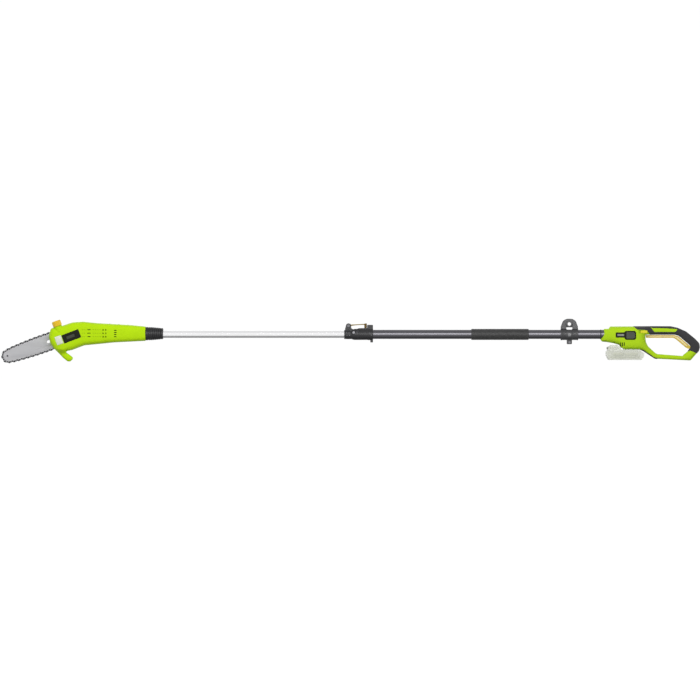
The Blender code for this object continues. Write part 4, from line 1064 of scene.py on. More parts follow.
def make_ferrule():
    low, high = mm_box("ferrule")
    start, end = low[0], high[0]
    inner = 14.9
    ribs = 7
    length = end - start
    profile = [(inner, end), (20.4, end), (21.4, end - 0.9)]
    pitch = (length - 14) / ribs
    for k in range(ribs):
        x = end - 3.0 - k * pitch
        r = 21.9 + 3.9 * min(1.0, k / (ribs - 2)) ** 0.8
        profile += [(r, x), (r + 0.15, x - pitch * 0.35), (r + 0.1, x - pitch * 0.62),
                    (r - 0.9, x - pitch * 0.72), (r - 0.9, x - pitch * 0.84)]
    x = start + 9.5
    profile += [(25.9, x), (26.3, x - 1.2), (26.3, start + 1.0), (25.5, start), (inner, start)]
    boot = lathe("ferrule_boot", profile, "X", (0, 0, 0), "black_plastic", 72, closed=True, degrees=28)
    for vertex in boot.data.vertices:
        if math.hypot(vertex.co.y, vertex.co.z) > 17 * MM:
            vertex.co.z += BOOT_RISE * MM
    mount(boot, "inner_pole", "black_plastic", "ferrule")
    STRIP_LIT.append(boot)


# ---------------------------------------------------------------- pole

def make_tubes():
    low, high = mm_box("outer_tube")
    outer, wall = high[2], 1.6
    ring = [(outer, high[0] - 0.4), (outer - 0.4, high[0]), (outer - wall, high[0]), (outer - wall, low[0]),
            (outer - 0.4, low[0]), (outer, low[0] + 0.4)]
    tube = lathe("outer_tube_drawn", ring, "X", (0, 0, 0), "dark_tube", 96, closed=True)
    mount(tube, "rear_pole", "dark_tube", "outer_tube")
    STRIP_LIT.append(tube)

    low, high = mm_box("inner_tube")
    radius, wall = high[2], 1.4

    def groove(angle, height):
        away = min(abs(angle), 2 * math.pi - abs(angle))
        return -0.8 * math.exp(-(away / 0.10) ** 2)

    ring = [(radius, high[0] - 0.4), (radius - 0.4, high[0]), (radius - wall, high[0]),
            (radius - wall, low[0]), (radius - 0.4, low[0]), (radius, low[0] + 0.4)]
    tube = lathe("inner_tube_drawn", ring, "X", (0, 0, 0), "bright_aluminium", 120, closed=True,
                 wobble=groove)
    mount(tube, "inner_pole", "bright_aluminium", "inner_tube")

    low, high = mm_box("foam_grip")
    end, radius = high[0], high[2]
    bore = 18.4
    profile = [(bore, end - 0.6), (bore + 0.6, end), (radius - 2.4, end), (radius - 1.0, end - 0.7),
               (radius - 0.25, end - 2.2)]
    steps = 56
    for k in range(steps + 1):
        profile.append((radius - 0.22, end - 4.5 - (2 * end - 9) * k / steps))
    profile += [(radius - 0.25, 2.2 - end), (radius - 1.0, 0.7 - end), (radius - 2.4, -end),
                (bore + 0.6, -end), (bore, 0.6 - end)]

    def supple(angle, height):
        return 0.11 * math.sin(5 * angle + height * 0.31) * math.sin(height * 0.22 + 2 * angle) \
            + 0.08 * math.sin(11 * angle - height * 0.63)

    foam = lathe("foam_sleeve", profile, "X", (0, 0, 0), "foam", 72, closed=True, wobble=supple)
    seat(foam, "foam_grip")
    mount(foam, "rear_pole", "foam", "foam_grip")
    STRIP_LIT.append(foam)


# ---------------------------------------------------------------- telescopic clamp

def bead(name, points, radius, finish, steps=10):
    """A thin round strip through points."""
    shape = bmesh.new()
    rings = []
    path = [Vector(p) for p in points]
    for k, spot in enumerate(path):
        ahead = (path[min(k + 1, len(path) - 1)] - path[max(k - 1, 0)]).normalized()
        across = ahead.cross(Vector((0.3, 0.9, 0.2))).normalized()
        other = ahead.cross(across)
        size = radius * (0.35 if k in (0, len(path) - 1) else 1.0)
        rings.append([shape.verts.new(spot + (across * math.cos(t) + other * math.sin(t)) * size)
                      for t in [2 * math.pi * j / steps for j in range(steps)]])
    for here, there in zip(rings, rings[1:]):
        for j in range(steps):
            n = (j + 1) % steps
            shape.faces.new((here[j], here[n], there[n], there[j]))
    shape.faces.new(rings[0][::-1])
    shape.faces.new(rings[-1])
    return piece_from(name, shape, finish)


def make_clamp():
    px, _, pz = joint_spot("clamp_lever")
    low, high = mm_box("clamp_body")
    front, back = low[0], high[0]
    profile = [(14.0, back), (20.6, back), (22.2, back - 1.2), (22.6, back - 3.5), (22.6, back - 19.5),
               (22.2, back - 21), (21.8, back - 22), (21.8, back - 30), (22.0, -560), (22.0, -574),
               (21.2, -579), (19.7, -584.5), (18.5, -586), (18.2, -587.4), (18.8, -588.6), (18.9, -596),
               (18.9, -607), (18.3, -609), (18.3, -610.2), (18.9, -611.4), (18.8, front + 1.2),
               (18.0, front), (14.0, front)]
    body = lathe("clamp_casting", profile, "X", (0, 0, 0), "black_plastic", 96, closed=True)
    ears = slab("ears", [rounded([(-612, 6, 0), (-611.4, 24, 5), (px - 10.4, pz + 1, 8),
                                  (px - 8, pz + 8.4, 5),
                                  (px, pz + 10.8, 8), (px + 8, pz + 8.4, 5), (px + 10.4, pz, 6),
                                  (px + 10.5, 24, 6), (-573, 17.5, 5), (-570, 6, 0)])],
                -11.5, 11.5, "black_plastic", edge=1.6, segments=3)
    hump = slab("hump", [rounded([(-525, 8, 0), (-524, 37.8, 2.5), (back - 0.4, 37.8, 2.5),
                                  (back - 0.4, 8, 0)])],
                -10.5, 10.5, "black_plastic", edge=1.8, segments=3)
    stub = slab("stub", [rounded([(-512, -10, 0), (-512, -31.8, 2), (back - 0.4, -31.8, 2),
                                  (back - 0.4, -10, 0)])], -8, 8, "black_plastic", edge=1.2)
    saddle = slab("saddle", [rounded([(-571, 8, 0), (-569, 20, 4), (-558, 24.6, 8), (-522, 25.4, 2),
                                      (-520, 8, 0)])], -8.5, 8.5, "black_plastic", edge=2.4, segments=4)
    combine(body, "UNION", ears, hump, stub, saddle)
    bore_in = lathe("bore", [(0, -500), (14.9, -500), (14.9, -640), (0, -640)], "X", (0, 0, 0), "steel", 72)
    tube_end = mm_box("outer_tube")[0][0]
    bore_out = lathe("bore", [(0, -480), (18.5, -480), (18.5, tube_end - 0.6), (0, tube_end - 0.6)], "X",
                     (0, 0, 0), "steel", 72)
    cam = block("cam", (-618, -6, 8), (-577, 6, 60))
    pin = lathe("pin", [(0, 30), (3.3, 30), (3.3, -30), (0, -30)], "Y", (px, 0, pz), "steel", 32)
    seat_cut = lathe("seat", [(0, -17.3), (6.5, -17.3), (6.5, -40), (0, -40)], "Y", (-577.5, 0, 7.1),
                     "steel", 40)
    cut(body, bore_in, bore_out, cam, pin, seat_cut)
    round_edges(body, 0.35, 2, 50)
    trims = [body]
    for side in (-1, 1):
        # The slanted ribs and small domes are real shapes; their lighter grey is a painted highlight.
        for start, span in ((-570.5, 7.5), (-566.5, 8.5)):
            points = []
            for k in range(9):
                angle = math.radians(8 + 38 * k / 8)
                points.append((start + span * k / 8, side * 21.9 * math.cos(angle), 21.9 * math.sin(angle)))
            trims.append(bead("rib", points, 0.8, "rib_grey"))
        for x, angle in ((-606, 20), (-596, 20), (-604, -12), (-594, -12), (-514, 12), (-508, -8)):
            a = math.radians(angle)
            r = 18.8 if x < -590 else 22.4
            axes = Matrix(((1, 0, 0), (0, 0, 1), (0, -1, 0))) if side > 0 else \
                Matrix(((1, 0, 0), (0, 0, -1), (0, 1, 0)))
            dome = [(0, 0.75), (1.0, 0.7), (1.9, 0.45), (2.5, 0.0), (2.5, -1.2), (0, -1.2)]
            trims.append(lathe("boss", dome, axes, (x, side * r * math.cos(a), r * math.sin(a)),
                               "rib_grey", 20))
        for k in range(5):
            x = back - 6 - 3.2 * k
            points = [(x, side * 22.45 * math.cos(a), 22.45 * math.sin(a))
                      for a in [math.radians(-62 + 24 * j / 6) for j in range(7)]]
            trims.append(bead("grip", points, 0.6, "black_plastic", 8))
    clamp = join("clamp_casting", trims)
    STRIP_LIT.append(clamp)
    mount(clamp, "rear_pole", "black_plastic", "clamp_body")

    low, high = mm_box("clamp_screw")
    spot = ((low[0] + high[0]) / 2, low[1] + 6.7, (low[2] + high[2]) / 2)
    axes = Matrix(((1, 0, 0), (0, 0, -1), (0, 1, 0)))
    head = lathe("clamp_bolt", [(0, 6.7), (2.6, 6.7), (4.6, 6.3), (5.7, 5.0), (6.0, 3.2), (6.0, 1.8),
                                (2.0, 1.8),
                                (2.0, 0), (0, 0)], axes, spot, "bolt_steel", 40)
    socket = lathe("socket", [(0, 9), (2.5, 9), (2.5, 4.4), (0, 3.4)], axes, spot, "pin_steel", 6)
    cut(head, socket)
    mount(head, "rear_pole", "steel", "clamp_screw")

    low, high = mm_box("lever_pin")
    pin = [(0, high[1]), (4.6, high[1]), (5.8, high[1] - 0.7), (6.0, high[1] - 1.5), (6.0, 11.9),
           (3.0, 11.9),
           (3.0, -11.9), (6.4, -11.9), (6.4, -13.2), (5.2, low[1]), (3.0, low[1]), (2.6, low[1] + 0.8),
           (0, low[1] + 0.8)]
    pivot = lathe("lever_pivot_pin", pin, "Y", (px, 0, pz), "pin_steel", 48)
    mount(pivot, "rear_pole", "steel", "lever_pin")


def make_lever():
    px, _, pz = joint_spot("clamp_lever")
    eye = [(7.5 * math.cos(a), 7.5 * math.sin(a) - 1.5) for a in [math.radians(50 + 9 * k) for k in range(29)]]
    arm_low = [(8, -0.6), (14, 0.7), (22, 1.9), (30, 2.7), (42, 3.7), (56, 4.3), (63.5, 4.3)]
    arm_high = [(63.5, 8.6), (56, 8.1), (42, 7.3), (30, 6.6), (18, 6.2), (9, 6.0)]
    arm = slab("arm", [[(px + x, pz + z) for x, z in eye + arm_low + arm_high], circle(px, pz, 3.3, 32)],
               -5.4, 5.4, "gold_lever", edge=0.7, segments=3)
    tip = slab("tip", [rounded([(px + 62.6, pz - 7.9, 1.5), (px + 72.8, pz - 8.7, 2.5),
                                (px + 72.8, pz + 9.6, 2.5),
                                (px + 70, pz + 10.3, 2), (px + 64.4, pz + 10.0, 2.0),
                                (px + 62.6, pz + 7.6, 1.5)])],
               -5.6, 5.6, "lever_block", edge=1.3, segments=3)
    ridges = [bead("ridge", [(px + 72.6, -4.4, pz + z), (px + 72.7, 0, pz + z), (px + 72.6, 4.4, pz + z)],
                   0.55, "lever_block", 8) for z in (-5.5, -3, -0.5, 2, 4.5, 7)]
    lever = join("cam_lever_cast", [arm, tip, *ridges])
    seat(lever, "cam_lever", axes="x")
    mount(lever, "clamp_lever", "gold_lever", "cam_lever")


# ---------------------------------------------------------------- carry bracket

def make_carry_bracket():
    low, high = mm_box("carry_bracket")
    x0, x1 = low[0], high[0]
    mid = (x0 + x1) / 2
    eye_z = 41.1
    profile = [(17, x1), (22.2, x1), (23.2, x1 - 0.8), (23.3, x1 - 4.2), (22.4, x1 - 5.4), (22.3, mid + 14),
               (22.4, mid + 11.2), (23.3, mid + 9.8), (23.4, mid), (23.3, mid - 9.8), (22.4, mid - 11.2),
               (22.3, mid - 14), (22.4, x0 + 5.4), (23.3, x0 + 4.2), (23.2, x0 + 0.8), (22.2, x0), (17, x0)]
    band = lathe("carry_bracket_moulding", profile, "X", (0, 0, 0), "bracket_black", 96, closed=True)
    dome = slab("dome", [rounded([(x0 + 0.4, 10, 0), (x0 + 0.4, 30, 9), (x0 + 9, 53, 16),
                                  (mid - 12, 61.9, 22),
                                  (mid + 12, 61.9, 22), (x1 - 9, 53, 16), (x1 - 0.4, 30, 9),
                                  (x1 - 0.4, 10, 0)], 8)], -4, 4, "bracket_black", edge=1.8, segments=4)
    foot = slab("foot", [rounded([(mid - 10, -14, 0), (mid - 10, -38.7, 3.5), (mid + 10, -38.7, 3.5),
                                  (mid + 10, -14, 0)])], -11, 11, "bracket_black", edge=2.0, segments=4)
    boss = lathe("boss", [(0, 6), (9.2, 6), (12.2, 5.6), (13, 4.6), (13, -4.6), (12.2, -5.6), (9.2, -6),
                          (0, -6)],
                 "Y", (mid, 0, eye_z), "bracket_black", 64)
    combine(band, "UNION", dome, foot, boss)
    eye = lathe("eye", [(0, 30), (6.9, 30), (6.9, -30), (0, -30)], "Y", (mid, 0, eye_z), "steel", 56)
    slot = slab("slot", [rounded([(mid - 12, 18.9, 5), (mid + 12, 18.9, 5), (mid + 12, 27.8, 1),
                                  (mid - 12, 27.8, 1)])], -30, 30, "steel", edge=0)
    bore = lathe("bore", [(0, 350), (18.5, 350), (18.5, 200), (0, 200)], "X", (0, 0, 0), "steel", 72)
    split = block("split", (200, -1.2, -60), (350, 1.2, 0))
    hole = lathe("hole", [(0, 30), (3.3, 30), (3.3, -30), (0, -30)], "Y", (mid, 0, -31), "steel", 24)
    cut(band, bore, eye, slot, split, hole)
    round_edges(band, 0.4, 2, 50)
    rivets = [lathe("rivet", [(0, 25.0), (3.6, 24.8), (6.2, 24.2), (7.2, 23.2), (7.2, 20), (0, 20)],
                    Matrix(((1, 0, 0), (0, 0, side), (0, -side, 0))), (mid, 0, -1.5), "bracket_grey", 36)
              for side in (-1, 1)]
    band = join("carry_bracket_moulding", [band, *rivets])
    mount(band, "carry_bracket", "black_plastic", "carry_bracket")
    STRIP_LIT.append(band)

    low, high = mm_box("bracket_screw")
    spot = ((low[0] + high[0]) / 2, 0, (low[2] + high[2]) / 2)
    profile = [(0, high[1]), (5, high[1]), (5, 11.4), (3, 11.4), (3, -11.4), (5.4, -11.4), (5.4, -13.6),
               (4.8, low[1] + 0.4), (3.9, low[1]), (0, low[1])]
    bolt = lathe("bracket_bolt", profile, "Y", spot, "pin_steel", 36)
    socket = lathe("socket", [(0, -11.8), (2.6, -12.6), (2.6, -20), (0, -20)], "Y", spot, "pin_steel", 6)
    cut(bolt, socket)
    mount(bolt, "carry_bracket", "steel", "bracket_screw")


# ---------------------------------------------------------------- sprocket cover and knob

COVER_OUTLINE = [(-1664.4, 40, 0), (-1700, 38, 18), (-1728, 30, 20), (-1772, 22, 10), (-1780, -9, 30),
                 (-1774, -34, 30), (-1760, -54, 14), (-1738, -66, 14), (-1712, -64, 14), (-1664.4, -44, 0)]


def make_cover():
    low, high = mm_box("sprocket_cover")
    outline = rounded(COVER_OUTLINE)
    dimple = circle(-1706.8, 0, 16, 40)
    ring = circle(-1706.8, 0, 20, 44)
    slats = []
    for k in range(4):
        x = -1683
        z = 16 - 10.5 * k
        # The slats are shallow sunk slots with near-black floors: painted shade for their depth.
        slats.append(("slat", [rounded([(x - 7, z - 1.6, 1.4), (x + 7, z - 1.6, 1.4), (x + 7, z + 1.6, 1.4),
                                        (x - 7, z + 1.6, 1.4)], 45)], "sunk", 1.8, "painted_hole_shade"))
    panels = [("cover_ring", [ring, dimple], "raised", 0.9, "head_lime"), *slats]
    cover, raised = skin("sprocket_casing", outline, [], lambda x, z: high[1], 6.0, 1, "head_lime", panels,
                         spacing=3.0, base=low[1])
    room = skin("room", [(x + (3 if x < -1700 else 0), z * 0.93) for x, z in outline], [],
                lambda x, z: high[1] - 3.2, 4.0, 1, "head_lime", spacing=6.0, base=low[1] - 2)[0]
    cut(cover, room)
    boss = block("boss", (-70, 26.4, -9), (-50, 37.0, 9), "head_lime", 0.6, tilt=TILT, about=ABOUT)
    combine(cover, "UNION", boss)
    mouth = block("mouth", (-130, 10, -38), (-50, 26.3, 38), tilt=TILT, about=ABOUT)
    upper = block("upper", (-130, 10, 12), (-50, 28.2, 38), tilt=TILT, about=ABOUT)
    lower = block("lower", (-130, 10, -38), (-50, 28.2, -12), tilt=TILT, about=ABOUT)
    path = block("path", (-130, 10, -21), (-62, 34.2, -9.2), tilt=TILT, about=ABOUT)
    stud = lathe("stud", [(0, 60), (4.2, 60), (4.2, 10), (0, 10)], "Y", bar_point(-60, 0, 0), "steel", 32)
    screw = lathe("mouth", [(0, -66), (4.6, -66), (4.6, -100), (0, -100)], "BAR", bar_point(0, -15, 30.7),
                  "steel", 32)
    cut(cover, mouth, upper, lower, path, stud, screw)
    mount(cover, "inner_pole", "head_lime", "sprocket_cover")
    mount(raised, "inner_pole", "head_lime")


def make_knob():
    low, high = mm_box("cover_knob")
    x, _, z = joint_spot("cover_knob_turn")

    def lobes(angle, height):
        return -2.6 * (0.5 - 0.5 * math.cos(6 * angle)) ** 1.5 if height > low[1] + 1.2 else 0.0

    near, far = low[1], high[1]
    profile = [(4.3, near), (13.2, near), (14.2, near + 0.6), (14.5, near + 1.6), (14.5, far - 2.2),
               (14.1, far - 0.9), (13.0, far - 0.2), (11.6, far), (10.4, far - 0.1), (9.6, far - 0.9),
               (8.9, far - 1.6), (6.2, far - 1.6), (5.6, far - 1.2), (5.0, far - 1.1), (4.3, far - 1.6)]
    knob = lathe("cover_knob_lobed", profile[::-1], "Y", (x, 0, z), "black_plastic", 144, closed=True,
                 wobble=lobes)
    mount(knob, "cover_knob", "black_plastic", "cover_knob")


# ---------------------------------------------------------------- rear housing

REAR_OUTLINE = [(409, 18.5, 2), (412.5, 21.8, 4), (429, 22.2, 3), (434.5, 31.4, 6), (606, 31.9, 0),
                (674, 31.6, 30), (702, 25.4, 20), (735, 11.0, 20), (769, -16.4, 14), (786.5, -34.5, 14),
                (789.6, -50, 18), (785, -66, 14), (753, -103, 9), (612, -95.8, 14), (566, -65.6, 8),
                (555, -60.6, 4),
                (482, -60.6, 6), (470, -41, 8), (447, -34.5, 8), (422, -30.5, 8), (403, -28.5, 5),
                (397, -21, 4)]
LOOP_HOLE = [(574, -2, 4), (576.5, -29, 20), (585, -47, 14), (612, -72, 12), (622, -77.5, 6), (721, -85, 8),
             (741, -69, 10), (753, -46, 6), (706, -6, 20), (690, -2, 10)]
SOFT_REGION = [(527, 40, 0), (527, 29.6, 1), (541, 18.6, 4), (570, 17.4, 8), (584, 9.5, 8), (592, -0.5, 2),
               (592, -6, 0), (700, -12, 0), (745, -45, 0), (738, -60, 0), (742.5, -67, 0), (752, -64.5, 4),
               (774, -73.5, 0), (800, -80, 0), (800, 0, 0), (720, 50, 0)]
INLAY = [(583.5, 42, 0), (588.5, 42, 0), (589, 33, 1), (601, 24.8, 2), (650, 24.2, 2), (703, 20.5, 2.5),
         (691, 9.6, 2.5), (609, 9.6, 2.5)]
STRUT_REGION = [(548, -66, 0), (563, -60.2, 1), (571, -64.4, 2), (610, -90.6, 3), (621, -94.4, 1),
                (623, -104, 0), (604, -106, 0)]
CORNER_BLOCK = [(727, -72, 1), (743, -67.5, 1), (766, -74.5, 1), (748, -97.5, 3), (722, -95.5, 2)]


def rear_width(full, grip=17.2):
    def width(x, z):
        nose = 0.66 + 0.34 * smoothstep(x, 398, 452)
        tail = 1.0 - smoothstep(x, 540, 612)
        return grip + (full * nose - grip) * tail if x > 500 else full * nose
    return width


def rounded_box(x0, z0, x1, z1, radius):
    return rounded([(x0, z0, radius), (x1, z0, radius), (x1, z1, radius), (x0, z1, radius)], 30)


def rear_panels(side):
    soft, inlay = rounded(SOFT_REGION), rounded(INLAY)
    badge = rounded([(455, 7.5, 3), (488, 7.5, 3), (494, 13.6, 3), (530, 13.6, 5), (535.5, 8, 6),
                     (535.5, -16, 6), (530, -21.5, 5), (494, -21.5, 4), (488, -12.6, 3), (455, -12.6, 3)])
    badge_grey = rounded([(497, 9.6, 3), (526, 9.6, 4), (531, 4.5, 4), (531, -12.5, 4), (526, -17.5, 4),
                          (497, -17.5, 3)])
    stripe = rounded_box(461, -6.6, 488, 1.6, 1.2)
    panels = [("badge_frame", [badge, badge_grey, stripe], "raised", 1.3, "label"),
              ("badge_field", [badge_grey], "raised", 0.9, "label_grey"),
              ("badge_stripe", [stripe], "raised", 0.9, "badge_pale"),
              ("grip_skin", [soft, inlay], "raised", 1.0, "soft_black"),
              ("strut_strip", [rounded(STRUT_REGION)], "raised", 0.9, "soft_black"),
              ("corner_block", [rounded(CORNER_BLOCK)], "raised", 1.3, "rear_lime")]
    screws = [(447, 22.0), (565, -50.5), (600, -82), (735, -90), (762, -34)] if side > 0 else []
    # Screw recesses with near-black floors: painted shade around the screws.
    for x, z in screws[:4]:
        panels.append(("screw", [circle(x, z, 3.9, 20)], "sunk", 3.6, "painted_hole_shade"))
    # Painted shadows: two shallow grooves along the lower edge of the near side, with near-black floors for the
    # shade in the gaps there.
    if side < 0:
        for x, z, w, h in ((413, -25.6, 7, 1.1), (449, -30.2, 4, 1.3)):
            panels.append(("painted_gap_shadow", [rounded_box(x - w, z - h, x + w, z + h, 0.8)], "sunk", 1.6, "painted_hole_shade"))
    # Louvre slots are sunk with near-black floors: painted shade for their depth.
    for k in range(4):
        x = 468 + 7.0 * k
        panels.append(("louvre", [rounded_box(x - 1.6, -46, x + 1.6, -31.5 if k else -36, 1.2)], "sunk", 2.6,
                       "painted_hole_shade"))
    return panels, screws[:4]


def make_bay():
    """The room in the handle that the trigger moves in."""
    corners = [(574.2, 8, 0), (692, 8, 8), (712, 2, 8), (760, -38, 4), (772, -50, 4), (766, -64, 4),
               (740, -60, 0), (694, -30, 0), (574.2, -22, 0)]
    return slab("bay", [rounded(corners)], -7.6, 7.6, "steel", edge=0)


def make_rear():
    full = mm_box("rear_shell_right")[1][1]
    outline, hole = rounded(REAR_OUTLINE), rounded(LOOP_HOLE)
    for side, word in ((-1, "left"), (1, "right")):
        panels, screws = rear_panels(side)
        casing, *raised = skin(f"rear_casing_{word}", outline, [hole], rear_width(full), 8.5, side,
                               "rear_lime",
                               panels, spacing=3.0)
        bore = lathe("bore", [(0, 444), (18.5, 444), (18.5, 380), (0, 380)], "X", (0, 0, 0), "steel", 64)
        rail_neck = block("neck", (440, -17.2, -70), (552, 17.2, -56.4))
        rail_head = block("head", (440, -21.6, -56.8), (552, 21.6, -52.6))
        tools = [bore, rail_neck, rail_head, make_bay()]
        if side < 0:
            tools.append(block("recess", (545, -60, 3.6), (584, -27.2, 16.4), edge=1.2))
            tools.append(block("slot", (551, -30, 6.4), (572.6, -8, 13.6)))
        cut(casing, *tools)
        mount(casing, "rear_pole", "rear_lime", f"rear_shell_{word}")
        for piece in raised:
            kind = piece.name.split(".")[0]
            piece.name = f"{kind}_{word}"
            if kind == "badge_frame":
                mount(piece, "rear_pole", "label", f"badge_{word}")
            elif kind == "grip_skin":
                cut(piece, make_bay())
                mount(piece, "rear_pole", "soft_black", f"soft_grip_{word}")
            elif kind == "strut_strip":
                mount(piece, "rear_pole", "soft_black", *(["strut_pad"] if side < 0 else []))
            elif kind.startswith("badge"):
                mount(piece, "rear_pole", "label")
            else:
                mount(piece, "rear_pole", "rear_lime")
        for index, (x, z) in enumerate(screws):
            y = surface_y(casing, x, z, side) - side * 0.2
            screw = screw_head(f"rear_screw_{index}", (x, y, z), 3.0, side)
            mount(screw, "rear_pole", "steel")

    low, high = mm_box("tube_gasket")
    profile = [(18.5, high[0] + 3), (18.9, high[0] + 3), (19.2, high[0] - 0.5), (19.2, low[0] + 0.7),
               (19.0, low[0] + 0.1), (18.8, low[0]), (18.5, low[0])]
    gasket = lathe("gasket_ring", profile, "X", (0, 0, 0), "soft_black", 72, closed=True)
    seat(gasket, "tube_gasket", axes="x")
    mount(gasket, "rear_pole", "soft_black", "tube_gasket")


def make_controls():
    px, _, pz = joint_spot("trigger")
    body = [(575.5, -2.6, 2), (689, -2.6, 9), (706, -8, 14), (752, -47.5, 3), (762, -47.5, 4),
            (768, -53, 4.5), (762, -58.5, 4.5), (742, -56, 3), (736, -53, 4), (694, -18, 10),
            (684, -13.6, 10), (577, -13.6, 4)]
    blade = slab("trigger_blade", [rounded(body, 8), circle(px, pz, 2.3, 24)], -5.2, 5.2, "amber_plastic",
                 edge=1.2, segments=4)
    core = [(583, -6.4, 1.4), (689, -6.4, 7), (704, -11, 11), (741, -44.5, 1.4), (738, -47.8, 1.4),
            (696, -14.4, 9), (686, -9.8, 8), (583, -9.8, 1.4)]
    inset = slab("trigger_core", [rounded(core, 8)], -7, 7, "amber_core", edge=0.9, segments=3)
    rails = []
    upper = [(577.5, -3.9), (600, -3.9), (640, -3.9), (688, -3.9), (705, -9.2), (747, -45.6)]
    lower = [(579, -12.4), (600, -12.4), (640, -12.4), (684, -12.4), (694, -16.4), (737, -51.6)]
    for y in (-5.4, 5.4):
        for line in (upper, lower):
            dense = resample_open(line, 6)
            rails.append(bead("rail", [(x, y, z) for x, z in dense], 1.25, "amber_plastic", 10))
    trigger = join("trigger_lever", [blade, inset, *rails])
    seat(trigger, "trigger")
    mount(trigger, "trigger", "amber_plastic", "trigger")

    low, high = mm_box("lock_off_button")
    cap = block("cap", (low[0], low[1], low[2]), (high[0], low[1] + 3.0, high[2]), "button_yellow", 1.3, 4)
    stem = block("stem", (558, low[1] + 2, 7.2), (572, high[1], 12.8), "button_yellow", 0.6)
    ridges = [block("ridge", (low[0] + 4 + 4 * k, low[1], low[2] + 2),
                    (low[0] + 5.6 + 4 * k, low[1] + 1, high[2] - 2),
                    "button_yellow", 0.45) for k in range(6)]
    for vertex in (v for ridge in ridges for v in ridge.data.vertices):
        vertex.co.y -= 0.35 * MM
    button = join("lock_off_slider", [cap, stem, *ridges])
    mount(button, "lock_off", "yellow_plastic", "lock_off_button")


def make_springs():
    """The coil of lead in the outer tube and the trigger's spring, which both close up in use."""
    low, high = mm_box("cable_coil")
    turns = 8
    reach = high[2] - 2.4
    path = []
    for k in range(24 * turns + 1):
        share, angle = k / (24 * turns), 2 * math.pi * k / 24
        path.append((low[0] + 1.4 + (high[0] - low[0] - 2.8) * share, reach * math.cos(angle),
                     reach * math.sin(angle)))
    coil = bead("cable_coil_wound", path, 2.4, "black_plastic", 12)
    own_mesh(mount(coil, "rear_pole", "black_plastic", "cable_coil"))

    low, high = mm_box("trigger_spring")
    middle, reach = (low[0] + high[0]) / 2, high[1] - 0.5
    path = []
    for k in range(16 * 5 + 1):
        share, angle = k / (16 * 5), 2 * math.pi * k / 16
        path.append((middle + reach * math.cos(angle), reach * math.sin(angle),
                     low[2] + 0.5 + (high[2] - low[2] - 1.0) * share))
    spring = bead("trigger_spring_wound", path, 0.5, "steel", 10)
    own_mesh(mount(spring, "rear_pole", "steel", "trigger_spring"))


def resample_open(line, step):
    points = []
    for (x0, z0), (x1, z1) in zip(line, line[1:]):
        pieces = max(1, math.ceil(math.hypot(x1 - x0, z1 - z0) / step))
        points += [(x0 + (x1 - x0) * k / pieces, z0 + (z1 - z0) * k / pieces) for k in range(pieces)]
    return points + [line[-1]]


# ---------------------------------------------------------------- battery

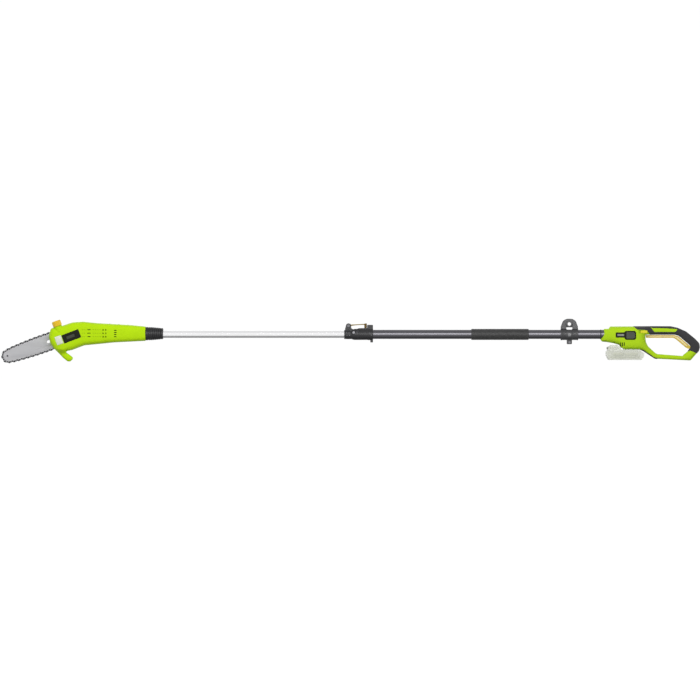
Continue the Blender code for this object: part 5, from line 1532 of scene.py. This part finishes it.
def make_battery():
    low, high = mm_box("battery_case")
    x0, x1, half = low[0], high[0], high[1]
    x0 += 4.5
    case = slab("case", [rounded([(x0, -66, 1), (x0, -82, 9), (427, -101, 9), (558, -101, 9), (x1, -84, 9),
                                  (x1, -75, 5), (x1 - 12, -66, 2)], 8)], -half, half, "battery_shell",
                                  edge=4.0,
                segments=5)
    room = block("room", (x0 + 7, -34.5, -97), (x1 - 16, 34.5, -60))
    cut(case, room)
    details = [case]
    for side in (-1, 1):
        y0, y1 = sorted((side * (half - 0.6), side * (half + 0.5)))
        for z in (-92.5, -88.5):
            details.append(block("rib", (x0 + 14, y0, z - 0.9), (x1 - 18, y1, z + 0.9), "battery_rib", 0.7))
        details.append(block("field", (x0 + 26, y0, -82.5), (x0 + 66, y1 - (0.2 if side > 0 else 0), -72.5),
                             "battery_rib", 0.8))
        details.append(block("field", (x0 + 74, y0, -82.5), (x1 - 26, y1, -72.5), "battery_rib", 0.8))
    piece = join("battery_case_moulded", details)
    mount(piece, "battery", "battery_shell", "battery_case")

    lid = slab("lid", [rounded([(x0 + 4.5, -65.7, 0), (x1 - 13, -65.7, 0), (x1 - 13, -61, 3),
                                (x0 + 7, -61, 3)])],
               -half, half, "battery_shell", edge=1.6)
    tower = slab("tower", [rounded([(423, -64, 0), (427, -50, 7), (438, -41.5, 7), (462, -41.5, 7),
                                    (474, -52, 6), (481, -64, 0)], 8)], -30, 30, "battery_shell", edge=3.0,
                 segments=4)
    neck = block("neck", (486, -16.6, -63), (551, 16.6, -55), "battery_shell", 0.5)
    head = block("head", (486, -21.1, -56.1), (551, 21.1, -53.2), "battery_shell", 0.5)
    combine(lid, "UNION", tower, neck, head)
    cut(lid, block("pocket", (415, -10.4, -59.4), (434, 10.4, -48.6)))
    extras = [lid]
    for side in (-1, 1):
        for k in range(4):
            x = 436 + 8 * k
            y0, y1 = sorted((side * 29.4, side * 30.6))
            extras.append(block("rib", (x, y0, -60), (x + 2.2, y1, -48), "battery_rib", 0.5))
    piece = join("battery_lid_moulded", extras)
    mount(piece, "battery", "battery_shell", "battery_lid")

    low, high = mm_box("cell_pack")
    count = 5
    radius = (high[2] - low[2]) / 2
    middle_z = (high[2] + low[2]) / 2
    pitch = (high[0] - low[0] - 2 * radius) / (count - 1)
    cells = []
    for k in range(count):
        x = low[0] + radius + k * pitch
        profile = [(0, high[1]), (3.0, high[1]), (3.4, high[1] - 0.5), (3.6, high[1] - 1.6),
                   (radius - 1.2, high[1] - 1.6),
                   (radius - 0.2, high[1] - 2.6), (radius - 0.2, high[1] - 4.0),
                   (radius - 0.9, high[1] - 5.0),
                   (radius, high[1] - 6.2), (radius, low[1] + 1), (radius - 1, low[1]), (0, low[1])]
        cells.append(lathe("cell", profile, "Y", (x, 0, middle_z), "cells", 32))
    piece = join("battery_cells", cells)
    mount(piece, "battery", "cells", "cell_pack")

    low, high = mm_box("latch_button")
    latch = [block("latch", low, high, "latch_grey", 1.2, 4)]
    for k in range(4):
        z = low[2] + 2.2 + 1.9 * k
        latch.append(block("ridge", (low[0] - 0.25, low[1] + 2.5, z), (low[0] + 0.8, high[1] - 2.5, z + 0.9),
                           "latch_grey", 0.35))
    piece = join("latch_button_ribbed", latch)
    seat(piece, "latch_button", axes="x")
    mount(piece, "battery_latch", "black_plastic", "latch_button")


# ---------------------------------------------------------------- finishes of what stays as it is

def dress_frame():
    """Every CAD node that still shows takes the finish of its own slot, and smooth shading."""
    for entry in frame["record"]["subparts"]:
        node = frame["nodes"][entry["node"]]
        if node.hide_render:
            continue
        node.data.materials.clear()
        node.data.materials.append(LOOKS[entry["material_slot"]])
        smooth(node.data)


make_looks()
make_stage()
make_bar()
make_chain()
make_head()
make_oil_cap()
make_ferrule()
make_tubes()
make_clamp()
make_lever()
make_carry_bracket()
make_cover()
make_knob()
make_rear()
make_controls()
make_springs()
make_battery()
make_strip_light()
dress_frame()
